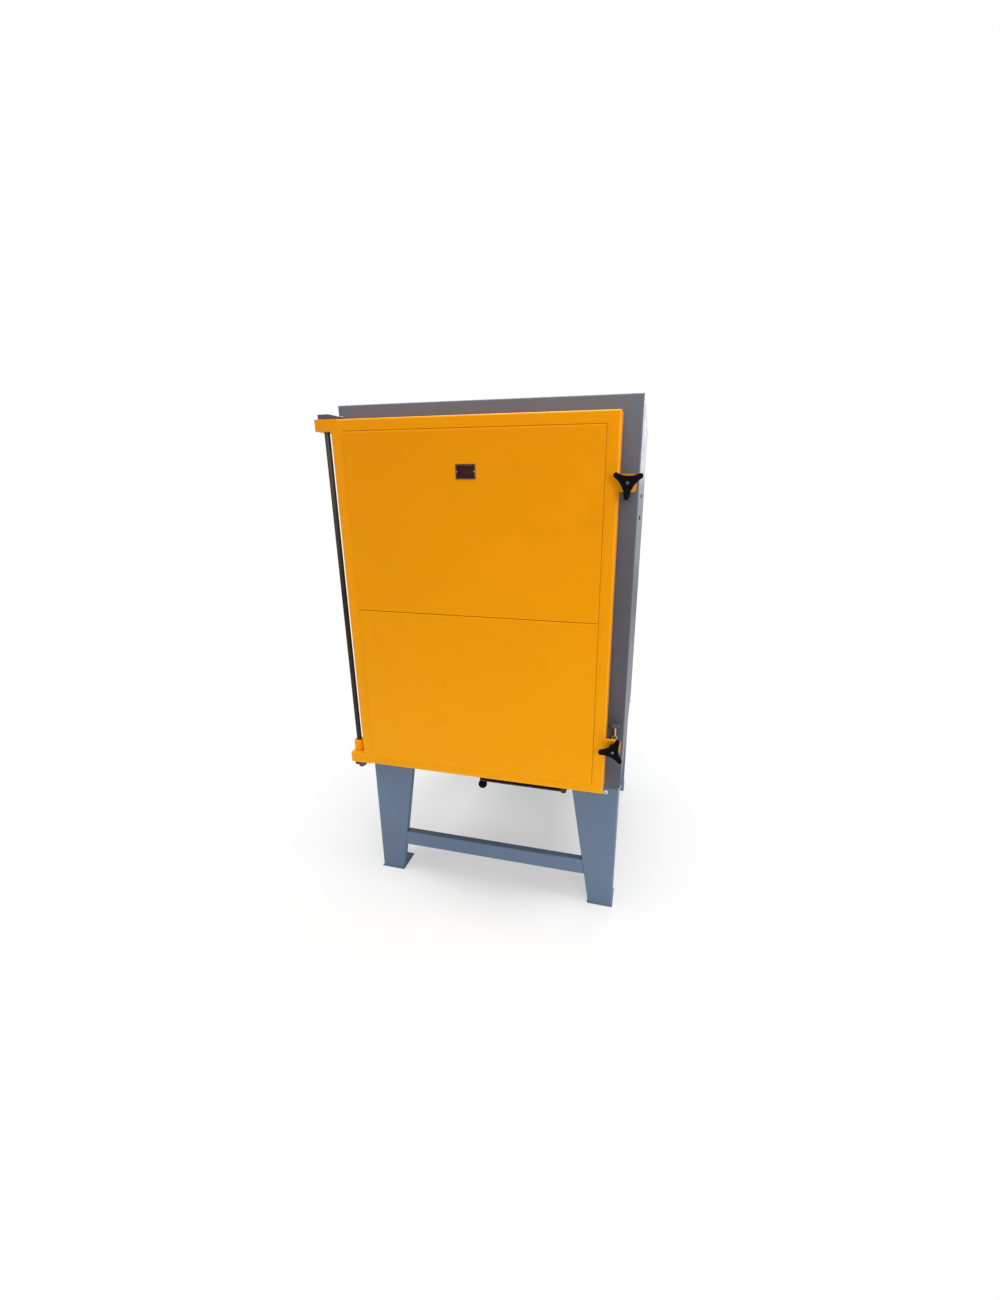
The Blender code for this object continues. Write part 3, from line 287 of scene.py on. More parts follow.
@dataclass(frozen=True)
class Moulding:
    """Moulded plastic or dyed sheet, faintly grained and scuffed."""

    name: str
    colour: Colour
    roughness: float = 0.40
    specular: float = 0.10
    scuff_scale: float = 110.0
    grain_scale: float = 1500.0
    grain: float = 0.00003

    def make(self) -> Material:
        """Build the material.

        Returns:
            The plastic.
        """
        graph = Surface(self.name, {"Specular IOR Level": self.specular})
        scuff = graph.noise(self.scuff_scale, 5.0)
        colour = graph.over(self.colour, scuff, (0.5, 0.8), shade(self.colour, 2.2))
        gloss = graph.spread(scuff, (0.3, 0.75), (self.roughness - 0.06, self.roughness + 0.12))
        return graph.done(colour, gloss, graph.relief(graph.noise(self.grain_scale, 1.0), self.grain))


@dataclass(frozen=True)
class Refractory:
    """Fired or pressed refractory: insulating brick, castable, carbide or ceramic."""

    name: str
    colour: Colour
    stain: Colour
    pores: float = 0.5
    grain: float = 0.0006
    tones: float = 0.10
    roughness: float = 0.92
    cloud_scale: float = 14.0
    speckle_scale: float = 420.0
    pore_scale: float = 330.0

    def make(self) -> Material:
        """Build the material; the piece's tone attribute sets each block's own shade.

        Returns:
            The refractory.
        """
        graph = Surface(self.name, {"Specular IOR Level": 0.2})
        tone = graph.node("ShaderNodeAttribute", {}, attribute_name="tone").outputs["Fac"]
        colour = graph.mixed(tone, self.colour, shade(self.colour, 1.0 - 2.0 * self.tones))
        cloud = graph.noise(self.cloud_scale, 6.0)
        colour = graph.over(colour, cloud, (0.48, 0.72), self.stain, (0.0, 0.55))
        speckle = graph.noise(self.speckle_scale, 3.0)
        colour = graph.over(colour, speckle, (0.5, 0.7), shade(self.colour, 0.7), (0.0, 0.35))
        # Pores sink into the bump, and are also painted darker as painted shade inside them.
        pore = graph.spread(graph.cells(self.pore_scale), (0.08, 0.30), (1.0, 0.0))
        hole = graph.math("MULTIPLY", pore, self.pores)
        colour = graph.mixed(hole, colour, shade(self.stain, 0.45))
        pitted = graph.math("SUBTRACT", speckle, hole)
        return graph.done(colour, self.roughness, graph.relief(pitted, self.grain))


@dataclass(frozen=True)
class Board:
    """Layered ceramic fibre, cut square, with its layers showing on the edges."""

    name: str
    colour: Colour
    scorch: Colour
    layer: float = 0.0085
    roughness: float = 0.97
    tear_scale: float = 60.0
    cloud_scale: float = 11.0
    fibre_scale: float = 700.0
    fibre_lie: Point = (1.0, 0.12, 0.6)
    depth: float = 0.0005

    def make(self) -> Material:
        """Build the material.

        Returns:
            The fibre board.
        """
        graph = Surface(self.name, {"Specular IOR Level": 0.1})
        turns = graph.math("MULTIPLY", graph.axis("Y"), 2.0 * math.pi / self.layer)
        torn = graph.math("MULTIPLY", graph.noise(self.tear_scale, 5.0), 2.5)
        band = graph.spread(graph.math("SINE", graph.math("ADD", turns, torn)), (-1.0, 1.0))
        colour = graph.over(self.colour, band, (0.0, 0.25), shade(self.colour, 0.68), (0.28, 0.0))
        cloud = graph.noise(self.cloud_scale, 5.0)
        colour = graph.over(colour, cloud, (0.46, 0.72), self.scorch, (0.0, 0.6))
        fibre = graph.noise(self.fibre_scale, 3.0, self.fibre_lie)
        height = graph.math("ADD", graph.math("MULTIPLY", band, 0.5), fibre)
        return graph.done(colour, self.roughness, graph.relief(height, self.depth))


@dataclass(frozen=True)
class Braid:
    """Square-plaited rope of ceramic yarn, laid flat in the plane of the door."""

    name: str
    colour: Colour
    stitch: float = 0.007
    roughness: float = 0.95
    cloud_scale: float = 9.0
    fibre_scale: float = 900.0
    depth: float = 0.0014

    def make(self) -> Material:
        """Build the material.

        Returns:
            The rope's yarn.
        """
        graph = Surface(self.name, {"Specular IOR Level": 0.1})
        lattice = []
        for operation in ("ADD", "SUBTRACT"):
            slant = graph.math(operation, graph.axis("X"), graph.axis("Z"))
            wave = graph.math("SINE", graph.math("MULTIPLY", slant, math.pi / self.stitch))
            lattice.append(graph.math("ABSOLUTE", wave))
        yarn = graph.math("POWER", graph.math("MULTIPLY", *lattice), 0.5)
        # Painted shade: the colour darkens in the crevices between the strands, where the yarn's height is
        # low.
        colour = graph.over(self.colour, yarn, (0.0, 0.5), shade(self.colour, 0.45), (0.65, 0.0))
        cloud = graph.noise(self.cloud_scale, 4.0)
        colour = graph.over(colour, cloud, (0.5, 0.7), shade(self.colour, 0.7), (0.0, 0.4))
        height = graph.math("ADD", yarn, graph.math("MULTIPLY", graph.noise(self.fibre_scale), 0.3))
        return graph.done(colour, self.roughness, graph.relief(height, self.depth))


Finish = Enamel | Steel | Moulding | Refractory | Board | Braid
AMBER: Colour = (1.0, 0.78, 0.20)
# Painted light: lighter and yellower towards the bottom of the door, darker towards the top.
YELLOW = Enamel(
    "yellow_enamel", (0.775, 0.273, 0.0015), specular=0.25, drift=0.02, tint=AMBER, foot=(0.92, 0.362, 0.0015)
)
# Painted shadow: dark amber for the thin strips in the gaps round the cover sheets.
GAP_SHADOW_AMBER = Enamel(
    "painted_gap_shadow_amber", (0.15, 0.046, 0.0008), roughness=0.60, specular=0.10, drift=0.10, tint=AMBER
)
# Painted light: the casing grey is lighter towards its top, darker below 1.35 m.
CASING_GREY = Enamel(
    "casing_grey_enamel",
    (0.120, 0.128, 0.156),
    roughness=0.42,
    specular=0.22,
    foot=(0.088, 0.095, 0.122),
    heights=(1.35, 1.84),
)
BRACKET_GREY = Enamel("bracket_grey_enamel", (0.058, 0.068, 0.082), drift=0.08)
STAND_GREY = Enamel("stand_grey_enamel", (0.130, 0.187, 0.278), roughness=0.44, specular=0.22)
BRIGHT = Steel("bright_steel", (0.46, 0.46, 0.43), (0.28, 0.27, 0.23), (1.0, 14.0, 1.0), 0.26, rim=0.5)
DRAWN = Steel(
    "drawn_rod", (0.064, 0.063, 0.054), (0.050, 0.046, 0.040), (1.0, 1.0, 14.0), 0.42, rim=0.0, grain=0.95
)
PLATED = Steel("zinc_plate", (0.66, 0.65, 0.64), (0.50, 0.45, 0.40), (4.0, 4.0, 4.0), 0.34)
PIN = Steel("turned_pin", (0.60, 0.53, 0.52), (0.34, 0.28, 0.26), (2.0, 2.0, 10.0), 0.42, rim=0.5)
DULL_INSERT = Steel("dull_insert", (0.095, 0.095, 0.105), (0.07, 0.07, 0.075), (6.0, 1.0, 6.0), 0.5, rim=0.2)
BRASS = Steel("brass", (0.19, 0.17, 0.14), (0.16, 0.13, 0.09), (6.0, 1.0, 6.0), 0.46, rim=0.2)
OXIDISED = Steel("oxidised_alloy", (0.19, 0.165, 0.150), (0.30, 0.27, 0.24), (1.0, 5.0, 1.0), 0.62)
WELD = Steel("weld_bead", (0.42, 0.41, 0.40), (0.24, 0.22, 0.20), (3.0, 3.0, 3.0), 0.46)
DARK_SCREW = Steel("blackened_screw", (0.040, 0.040, 0.044), (0.10, 0.09, 0.08), (4.0, 4.0, 4.0), 0.45)
PLASTIC = Moulding("black_moulding", (0.0040, 0.0042, 0.0058), specular=0.02)
ANODISED = Moulding("dark_plate", (0.033, 0.0085, 0.0105), roughness=0.42, specular=0.07)
PLATE_LINE = Moulding("pale_plate_line", (0.24, 0.20, 0.19))
BRICK = Refractory("insulating_brick", (0.80, 0.745, 0.645), (0.70, 0.56, 0.42))
MORTAR = Refractory("air_setting_mortar", (0.62, 0.58, 0.51), (0.50, 0.43, 0.35), pores=0.2)
CASTABLE = Refractory("dense_castable", (0.70, 0.655, 0.575), (0.55, 0.45, 0.35), pores=0.25)
CARBIDE = Refractory("silicon_carbide", (0.150, 0.142, 0.132), (0.24, 0.215, 0.185), 0.3, 0.0004, 0.05, 0.75)
CERAMIC = Refractory("fired_ceramic", (0.84, 0.825, 0.78), (0.72, 0.62, 0.50), 0.12, 0.00025, 0.03, 0.7)
FIBRE = Board("ceramic_fibre_board", (0.85, 0.835, 0.79), (0.66, 0.56, 0.44))
YARN = Braid("ceramic_yarn", (0.80, 0.785, 0.73))
MADE: dict[str, Material] = {}


def material(finish: Finish) -> Material:
    """The material of a finish, built once however many pieces wear it."""
    if finish.name not in MADE:
        MADE[finish.name] = finish.make()
    return MADE[finish.name]


def aimed(origin: Point, direction: Point, axis: str = "Z") -> Matrix:
    """A place at origin with one of its own axes turned along direction."""
    turn = Vector(direction).to_track_quat(axis, "Y").to_matrix().to_4x4()
    return Matrix.Translation(Vector(origin)) @ turn


def foot_of(node: str) -> Matrix:
    """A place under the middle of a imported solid, at its lowest height."""
    low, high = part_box(node)
    return Matrix.Translation(((low.x + high.x) / 2, (low.y + high.y) / 2, low.z))


def evenly(first: float, last: float, margin: float, pitch: float) -> list[float]:
    """Values spread evenly between two ends.

    Args:
        first: One end.
        last: The other end.
        margin: What stays free at each end.
        pitch: Step between values, rounded so that they fit.

    Returns:
        The values.
    """
    room = last - first - 2 * margin
    count = round(room / pitch)
    return [first + margin + room * index / count for index in range(count + 1)]


def meshed(name: str, form: BMesh) -> Mesh:
    """Turn a form, which is used up, into a mesh.

    Args:
        name: The mesh's name.
        form: The form.

    Returns:
        The mesh.
    """
    mesh = bpy.data.meshes.new(name)
    form.to_mesh(mesh)
    form.free()
    return mesh


def shown(name: str, data: ID) -> Object:
    """Put an object in the scene.

    Args:
        name: The object's name.
        data: Its mesh, camera or light.

    Returns:
        The object.
    """
    item = bpy.data.objects.new(name, data)
    bpy.context.scene.collection.objects.link(item)
    return item


def cuboid(low: Sequence[float], high: Sequence[float]) -> BMesh:
    """A block between two corners.

    Args:
        low: The lowest corner.
        high: The highest corner.

    Returns:
        The block.
    """
    form = bmesh.new()
    bmesh.ops.create_cube(form, size=1.0)
    bmesh.ops.scale(form, vec=[b - a for a, b in zip(low, high)], verts=form.verts)
    bmesh.ops.translate(form, vec=[(a + b) / 2 for a, b in zip(low, high)], verts=form.verts)
    return form


def turned(profile: Profile, steps: int) -> BMesh:
    """Turn a profile once round the z axis.

    Args:
        profile: Pairs of radius and height; it closes on itself unless both its ends lie on the axis.
        steps: Facets round the turn.

    Returns:
        The turned solid.
    """
    form = bmesh.new()
    verts = [form.verts.new((radius, 0.0, height)) for radius, height in profile]
    edges = [form.edges.new(pair) for pair in zip(verts, verts[1:])]
    if profile[0][0] > 0.0 or profile[-1][0] > 0.0:
        edges.append(form.edges.new((verts[-1], verts[0])))
    bmesh.ops.spin(
        form,
        geom=verts + edges,
        cent=(0.0, 0.0, 0.0),
        axis=(0.0, 0.0, 1.0),
        dvec=(0.0, 0.0, 0.0),
        angle=2.0 * math.pi,
        steps=steps,
        use_merge=True,
    )
    bmesh.ops.remove_doubles(form, verts=form.verts, dist=MERGE)
    return form


def round_edges(form: BMesh, edges: Ring, width: float, segments: int) -> None:
    """Bevel some edges of a form.

    Args:
        form: The form.
        edges: Its edges to round.
        width: Distance from the old edge to where the rounding starts.
        segments: Facets across the rounding.
    """
    bmesh.ops.bevel(
        form,
        geom=edges,
        offset=width,
        offset_type="OFFSET",
        segments=segments,
        profile=0.5,
        affect="EDGES",
        material=-1,
        clamp_overlap=True,
    )


def run(form: BMesh, ring: Ring, step: Point) -> Ring:
    """Extrude a ring of edges straight on.

    Args:
        form: The form.
        ring: The ring.
        step: How far it goes.

    Returns:
        The new ring.
    """
    grown = bmesh.ops.extrude_edge_only(form, edges=ring)["geom"]
    verts = {item for item in grown if isinstance(item, BMVert)}
    bmesh.ops.translate(form, vec=step, verts=list(verts))
    return [item for item in grown if isinstance(item, BMEdge) and set(item.verts) <= verts]


def bend(form: BMesh, ring: Ring, centre: Point, axis: Point, degrees: float) -> Ring:
    """Spin a ring of edges on round a bend.

    Args:
        form: The form.
        ring: The ring.
        centre: Middle of the bend.
        axis: What the bend turns about.
        degrees: How far it turns.

    Returns:
        The new ring.
    """
    spun = bmesh.ops.spin(
        form,
        geom=list({vert for edge in ring for vert in edge.verts}) + ring,
        cent=centre,
        axis=axis,
        dvec=(0.0, 0.0, 0.0),
        angle=math.radians(degrees),
        steps=round(abs(degrees) / BEND_STEP),
        use_merge=False,
    )
    return [item for item in spun["geom_last"] if isinstance(item, BMEdge)]


def bead(start: Point, end: Point, radius: float) -> BMesh:
    """A weld bead: overlapping drops laid in a line.

    Args:
        start: Where it starts.
        end: Where it ends.
        radius: Mean radius of a drop.

    Returns:
        The bead.
    """
    form = bmesh.new()
    first, last = Vector(start), Vector(end)
    count = max(2, round((last - first).length / (radius * 0.8)))
    for index in range(count + 1):
        place = Matrix.Translation(first.lerp(last, index / count))
        size = radius * (1.0 + 0.14 * math.sin(2.4 * index))
        bmesh.ops.create_uvsphere(form, u_segments=10, v_segments=6, radius=size, matrix=place)
    return form


@dataclass
class Piece:
    """One object in the making: a bmesh to which shaped parts are joined."""

    name: str
    form: BMesh = field(default_factory=bmesh.new)
    spans: list[tuple[int, int]] = field(default_factory=list)

    def add(self, part: BMesh, places: Iterable[Matrix] = (NOWHERE,)) -> "Piece":
        """Join a part at each of some places.

        Args:
            part: The part, which is used up.
            places: Where its copies go.

        Returns:
            The piece itself.
        """
        bmesh.ops.recalc_face_normals(part, faces=part.faces)
        mesh = meshed("part", part)
        for place in places:
            verts_before, faces_before = len(self.form.verts), len(self.form.faces)
            self.form.from_mesh(mesh)
            self.form.verts.ensure_lookup_table()
            bmesh.ops.transform(self.form, matrix=place, verts=self.form.verts[verts_before:])
            self.spans.append((faces_before, len(self.form.faces)))
        bpy.data.meshes.remove(mesh)
        return self

    def copy_node(self, node: str) -> "Piece":
        """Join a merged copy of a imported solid.

        Args:
            node: The solid's name.

        Returns:
            The piece itself.
        """
        form = self.form
        form.from_mesh(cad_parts[node].data)
        bmesh.ops.remove_doubles(form, verts=form.verts, dist=MERGE)
        bmesh.ops.dissolve_limit(form, angle_limit=SAME_PLANE, verts=form.verts, edges=form.edges)
        return self

    def toned(self, seed: int) -> None:
        """Give each joined part a shade of its own, read by the material.

        Args:
            seed: Seed of the shades.
        """
        draw = random.Random(seed)
        layer = self.form.faces.layers.float.new("tone")
        self.form.faces.ensure_lookup_table()
        for first, last in self.spans:
            tone = draw.random()
            for face in self.form.faces[first:last]:
                face[layer] = tone

    def finish(
        self,
        finish: Finish,
        slot: str,
        body: Body = Body.FURNACE,
        replaces: bool = False,
        edge: float = 0.0,
        smooth: float = 35.0,
    ) -> None:
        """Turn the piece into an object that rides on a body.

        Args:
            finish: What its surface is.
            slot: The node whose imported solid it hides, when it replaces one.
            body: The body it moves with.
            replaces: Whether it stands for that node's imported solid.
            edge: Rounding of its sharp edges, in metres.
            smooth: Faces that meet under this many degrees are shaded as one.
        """
        mesh = meshed(self.name, self.form)
        item = shown(self.name, mesh)
        mesh.materials.append(material(finish))
        mesh.shade_smooth()
        mesh.set_sharp_from_angle(angle=math.radians(smooth))
        if edge > 0.0:
            rounding = item.modifiers.new("edges", "BEVEL")
            rounding.width = edge
            rounding.segments = 2
            rounding.limit_method = "ANGLE"
            rounding.angle_limit = SHARP
            rounding.harden_normals = True
        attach(item, body.value)
        if replaces:
            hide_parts(slot)
        LOG.info("%s on %s: %d faces", self.name, body.value, len(mesh.polygons))


def rounded_node(node: str, finish: Finish, edge: float, body: Body = Body.FURNACE) -> None:
    """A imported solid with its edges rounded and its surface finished."""
    Piece(node + "_finished").copy_node(node).finish(finish, node, body, True, edge)


@dataclass(frozen=True)
class Fastener:
    """A screw or bolt head on a washer."""

    radius: float
    height: float
    washer: float
    sides: int

    @property
    def plate(self) -> float:
        """Thickness of the washer."""
        return self.height * 0.28

    def head(self) -> BMesh:
        """The head, its socket and its washer, standing on z = 0.

        Returns:
            The turned head.
        """
        rim, socket, plate = self.radius * 0.82, self.radius * 0.42, self.plate
        profile = [(0.0, plate), (socket * 0.9, plate), (socket, self.height * 0.96), (rim, self.height)]
        profile += [(self.radius, self.height * 0.8), (self.radius, plate), (self.washer * 0.96, plate)]
        profile += [(self.washer, plate * 0.7), (self.washer, 0.0), (0.0, 0.0)]
        return turned(profile, self.sides)

    def fix(
        self, name: str, places: list[Matrix], finish: Finish, slot: str, body: Body = Body.FURNACE
    ) -> None:
        """Put a head at each of some places, all as one piece."""
        Piece(name).add(self.head(), places).finish(finish, slot, body)


SMALL_SCREW = Fastener(radius=0.0042, height=0.0026, washer=0.0048, sides=20)
PLUG_SCREW = Fastener(radius=0.0072, height=0.0038, washer=0.0082, sides=20)
LEG_BOLT = Fastener(radius=0.0066, height=0.0055, washer=0.0092, sides=32)
RIVET = Fastener(radius=0.0016, height=0.0010, washer=0.00176, sides=16)


@dataclass(frozen=True)
class Lamp:
    """A rectangular lamp: where it hangs, what it points at, the size of its face and its watts."""

    name: str
    place: Point
    target: Point
    size: Span
    power: float

    def hang(self) -> None:
        """Add the lamp to the scene."""
        light = bpy.data.lights.new(self.name, "AREA")
        light.shape = "RECTANGLE"
        light.size, light.size_y = self.size
        light.energy = self.power
        turn = Vector(self.target) - Vector(self.place)
        shown(self.name, light).matrix_world = aimed(self.place, turn, "-Z")


@dataclass
class Studio:
    """Camera, floor, world and lamps: a soft key at the front, three above, weak ones left and behind."""

    eye: Point = (0.5520, -2.0783, 1.5733)
    yaw: float = -0.2372
    pitch: float = 0.2960
    roll: float = 0.0003
    focal_pixels: float = 505.0
    picture_height: float = 1300.0
    sensor: float = 36.0
    shift: Span = (-0.01985, -0.00377)
    floor_radius: float = 9.0
    floor_tone: float = 0.88
    fade: Span = (0.45, 1.4)
    least_fade: float = 0.40
    ambient: float = 0.46
    lamps: tuple[Lamp, ...] = (
        Lamp("key", (2.2, -3.2, 2.0), (0.0, -0.4, 1.0), (1.2, 1.2), 33.0),
        Lamp("overhead", (0.1, -0.15, 4.0), (0.0, -0.15, 0.0), (2.6, 1.1), 66.0),
        Lamp("top_right", (1.7, -0.50, 3.2), (0.3, -0.3, 1.2), (1.0, 1.0), 38.0),
        Lamp("top_left", (-1.9, -0.58, 3.0), (-0.4, -0.4, 1.0), (1.0, 1.0), 30.0),
        Lamp("fill", (-3.4, -2.2, 1.6), (0.0, 0.0, 0.9), (1.8, 1.8), 10.0),
        Lamp("back", (0.8, 3.6, 2.6), (0.0, 0.3, 0.9), (2.4, 2.0), 40.0),
    )

    def build(self) -> None:
        """Set the scene up."""
        self.camera()
        self.floor()
        self.world()
        for lamp in self.lamps:
            lamp.hang()
        bpy.context.scene.view_settings.view_transform = "Standard"

    def camera(self) -> None:
        """The camera of the photograph's view."""
        flat = math.cos(self.pitch)
        ahead = Vector((math.sin(self.yaw) * flat, math.cos(self.yaw) * flat, -math.sin(self.pitch)))
        level = Vector((math.cos(self.yaw), -math.sin(self.yaw), 0.0))
        above = level.cross(ahead)
        right = level * math.cos(self.roll) + above * math.sin(self.roll)
        upward = above * math.cos(self.roll) - level * math.sin(self.roll)
        lens = bpy.data.cameras.new("camera")
        lens.sensor_width = self.sensor
        lens.lens = self.focal_pixels * self.sensor / self.picture_height
        lens.shift_x, lens.shift_y = self.shift
        lens.clip_start = 0.05
        camera = shown("camera", lens)
        turn = Matrix((right, upward, -ahead)).transposed().to_4x4()
        camera.matrix_world = Matrix.Translation(Vector(self.eye)) @ turn
        bpy.context.scene.camera = camera

    def floor(self) -> None:
        """A wide pale floor that fades into the white background."""
        form = bmesh.new()
        bmesh.ops.create_circle(form, cap_ends=True, segments=96, radius=self.floor_radius)
        mesh = meshed("studio_floor", form)
        shown("studio_floor", mesh)
        graph = Surface("studio_floor", {"Roughness": 0.9, "Specular IOR Level": 0.0})
        away = graph.node("ShaderNodeVectorMath", {0: graph.place}, operation="LENGTH").outputs["Value"]
        fade = graph.spread(away, self.fade, (self.least_fade, 1.0))
        seen = graph.node("ShaderNodeLightPath", {}).outputs["Is Camera Ray"]
        glow = graph.node("ShaderNodeEmission", {"Strength": 1.0}).outputs[0]
        shares = {0: graph.math("MULTIPLY", fade, seen), 1: graph.shader.outputs[0], 2: glow}
        blend = graph.node("ShaderNodeMixShader", shares).outputs[0]
        graph.feed(graph.tree.nodes["Material Output"], {"Surface": blend})
        tone = graph.mixed(graph.noise(1.5, 1.0), (self.floor_tone,) * 3, (self.floor_tone * 0.98,) * 3)
        graph.feed(graph.shader, {"Base Color": tone})
        mesh.materials.append(graph.material)

    def world(self) -> None:
        """An even soft light, white where it is seen directly, in gloss or through glass."""
        world = bpy.data.worlds.new("studio")
        bpy.context.scene.world = world
        world.use_nodes = True
        graph = Graph(world.node_tree)
        ray = graph.node("ShaderNodeLightPath", {}).outputs
        gloss = graph.math("MAXIMUM", ray["Is Glossy Ray"], ray["Is Transmission Ray"])
        seen = graph.math("MAXIMUM", ray["Is Camera Ray"], gloss)
        inputs = {"Color": (1.0, 1.0, 1.0, 1.0), "Strength": graph.spread(seen, WHOLE, (self.ambient, 1.0))}
        graph.feed(graph.tree.nodes["Background"], inputs)


@dataclass
class Casing:
    """Front pan, five sheets, the screws of the back and the plug screws of the sides."""

    sheet_edge: float = 0.0009
    pan_edge: float = 0.0012
    margin: float = 0.014
    pitch: float = 0.150
    side_screws: tuple[Span, ...] = ((-0.1300, 1.5560), (-0.1850, 1.4830))

    def build(self) -> None:
        """Build and dress the casing."""
        rounded_node("front_frame", CASING_GREY, self.pan_edge)
        for side in ("left_side", "right_side", "top", "bottom", "back"):
            rounded_node(side + "_sheet", CASING_GREY, self.sheet_edge)
        self.back_screws()
        self.plug_screws()

    def back_screws(self) -> None:
        """Screws round the back sheet, an even pitch along each side."""
        low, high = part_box("back_sheet")
        spots = []
        for x in evenly(low.x, high.x, self.margin, self.pitch):
            spots += [(x, low.z + self.margin), (x, high.z - self.margin)]
        for z in evenly(low.z, high.z, self.margin, self.pitch)[1:-1]:
            spots += [(low.x + self.margin, z), (high.x - self.margin, z)]
        places = [aimed((x, high.y, z), BACK) for x, z in spots]
        SMALL_SCREW.fix("back_sheet_screws", places, DARK_SCREW, "back_sheet")

    def plug_screws(self) -> None:
        """Two plug screws on each side sheet."""
        sides = ((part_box("right_side_sheet")[1].x, RIGHT), (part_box("left_side_sheet")[0].x, LEFT))
        places = [aimed((x, y, z), way) for y, z in self.side_screws for x, way in sides]
        PLUG_SCREW.fix("side_sheet_screws", places, DARK_SCREW, "right_side_sheet")


@dataclass
class TerminalCover:
    """The tray over the heating terminals and the screws that hold it."""

    edge: float = 0.0016
    margin: float = 0.030
    pitch: float = 0.22

    def build(self) -> None:
        """Build and dress the cover."""
        rounded_node("terminal_cover", CASING_GREY, self.edge)
        low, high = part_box("terminal_cover")
        heights = evenly(low.z, high.z, self.margin, self.pitch)
        sides = ((low.x, LEFT), (high.x, RIGHT))
        places = [aimed((x, low.y + self.margin, z), way) for x, way in sides for z in heights]
        SMALL_SCREW.fix("terminal_cover_screws", places, DARK_SCREW, "terminal_cover")


@dataclass
class Chamber:
    """Brick walls on mortar, the castable collar and the hearth plate."""

    joint: float = 0.0022
    recess: float = 0.0018
    chip: float = 0.0022
    stretcher: float = 0.230
    header: float = 0.114
    course: float = 0.0666
    skin: float = 0.030
    tuck: float = 0.02
    least_brick: float = 0.02
    mortar_edge: float = 0.002
    collar_edge: float = 0.0025
    hearth_edge: float = 0.0022
    first_seed: int = 11

    def build(self) -> None:
        """Build and dress the chamber."""
        walls = {
            "floor_lining": (2, 1, self.header),
            "roof_lining": (2, -1, self.header),
            "left_lining": (0, 1, self.course),
            "right_lining": (0, -1, self.course),
            "back_lining": (1, -1, self.course),
        }
        for seed, (node, facts) in enumerate(walls.items(), self.first_seed):
            self.wall(node, *facts, seed)
        rounded_node("mouth_collar", CASTABLE, self.collar_edge)
        rounded_node("hearth_plate", CARBIDE, self.hearth_edge)

    def inside(self) -> tuple[Span, Span, Span]:
        """The hollow between the linings.

        Returns:
            Its lowest and highest value on each axis.
        """
        box = {side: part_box(side + "_lining") for side in ("left", "right", "floor", "roof", "back")}
        across = (box["left"][1].x, box["right"][0].x)
        return across, (box["floor"][0].y, box["back"][0].y), (box["floor"][1].z, box["roof"][0].z)

    def wall(self, node: str, axis: int, towards: int, height: float, seed: int) -> None:
        """Lay one wall in running bond on a mortar backing.

        Args:
            node: The lining that the bricks stand for.
            axis: Axis that the wall's inner face looks along.
            towards: 1 if the face looks towards plus on that axis, else -1.
            height: Height of a brick's visible face.
            seed: Seed of the bricks' shades.
        """
        low, high = list(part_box(node)[0]), list(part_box(node)[1])
        face = (high if towards > 0 else low)[axis]
        along, up = [index for index in range(3) if index != axis]
        spans = [
            (max(a, first - self.tuck), min(b, last + self.tuck))
            for a, b, (first, last) in zip(low, high, self.inside())
        ]
        (start, end), (foot, top) = spans[along], spans[up]
        courses = max(1, round((top - foot) / height))
        step = (top - foot) / courses
        gap = self.joint / 2
        spans[axis] = sorted((face, face - towards * self.skin))
        bricks = Piece(node + "_bricks")
        for row in range(courses):
            spans[up] = (foot + row * step + gap, foot + (row + 1) * step - gap)
            at = start - (self.stretcher / 2 if row % 2 else 0.0)
            while at < end - MERGE:
                first, last = max(at, start), min(at + self.stretcher, end)
                at += self.stretcher
                if last - first >= self.least_brick:
                    spans[along] = (first + gap, last - gap)
                    brick = cuboid(*zip(*spans))
                    round_edges(brick, list(brick.edges), self.chip, 2)
                    bricks.add(brick)
        bricks.toned(seed)
        bricks.finish(BRICK, node)
        (high if towards > 0 else low)[axis] = face - towards * self.recess
        backing = Piece(node + "_backing").add(cuboid(low, high))
        backing.finish(MORTAR, node, replaces=True, edge=self.mortar_edge)


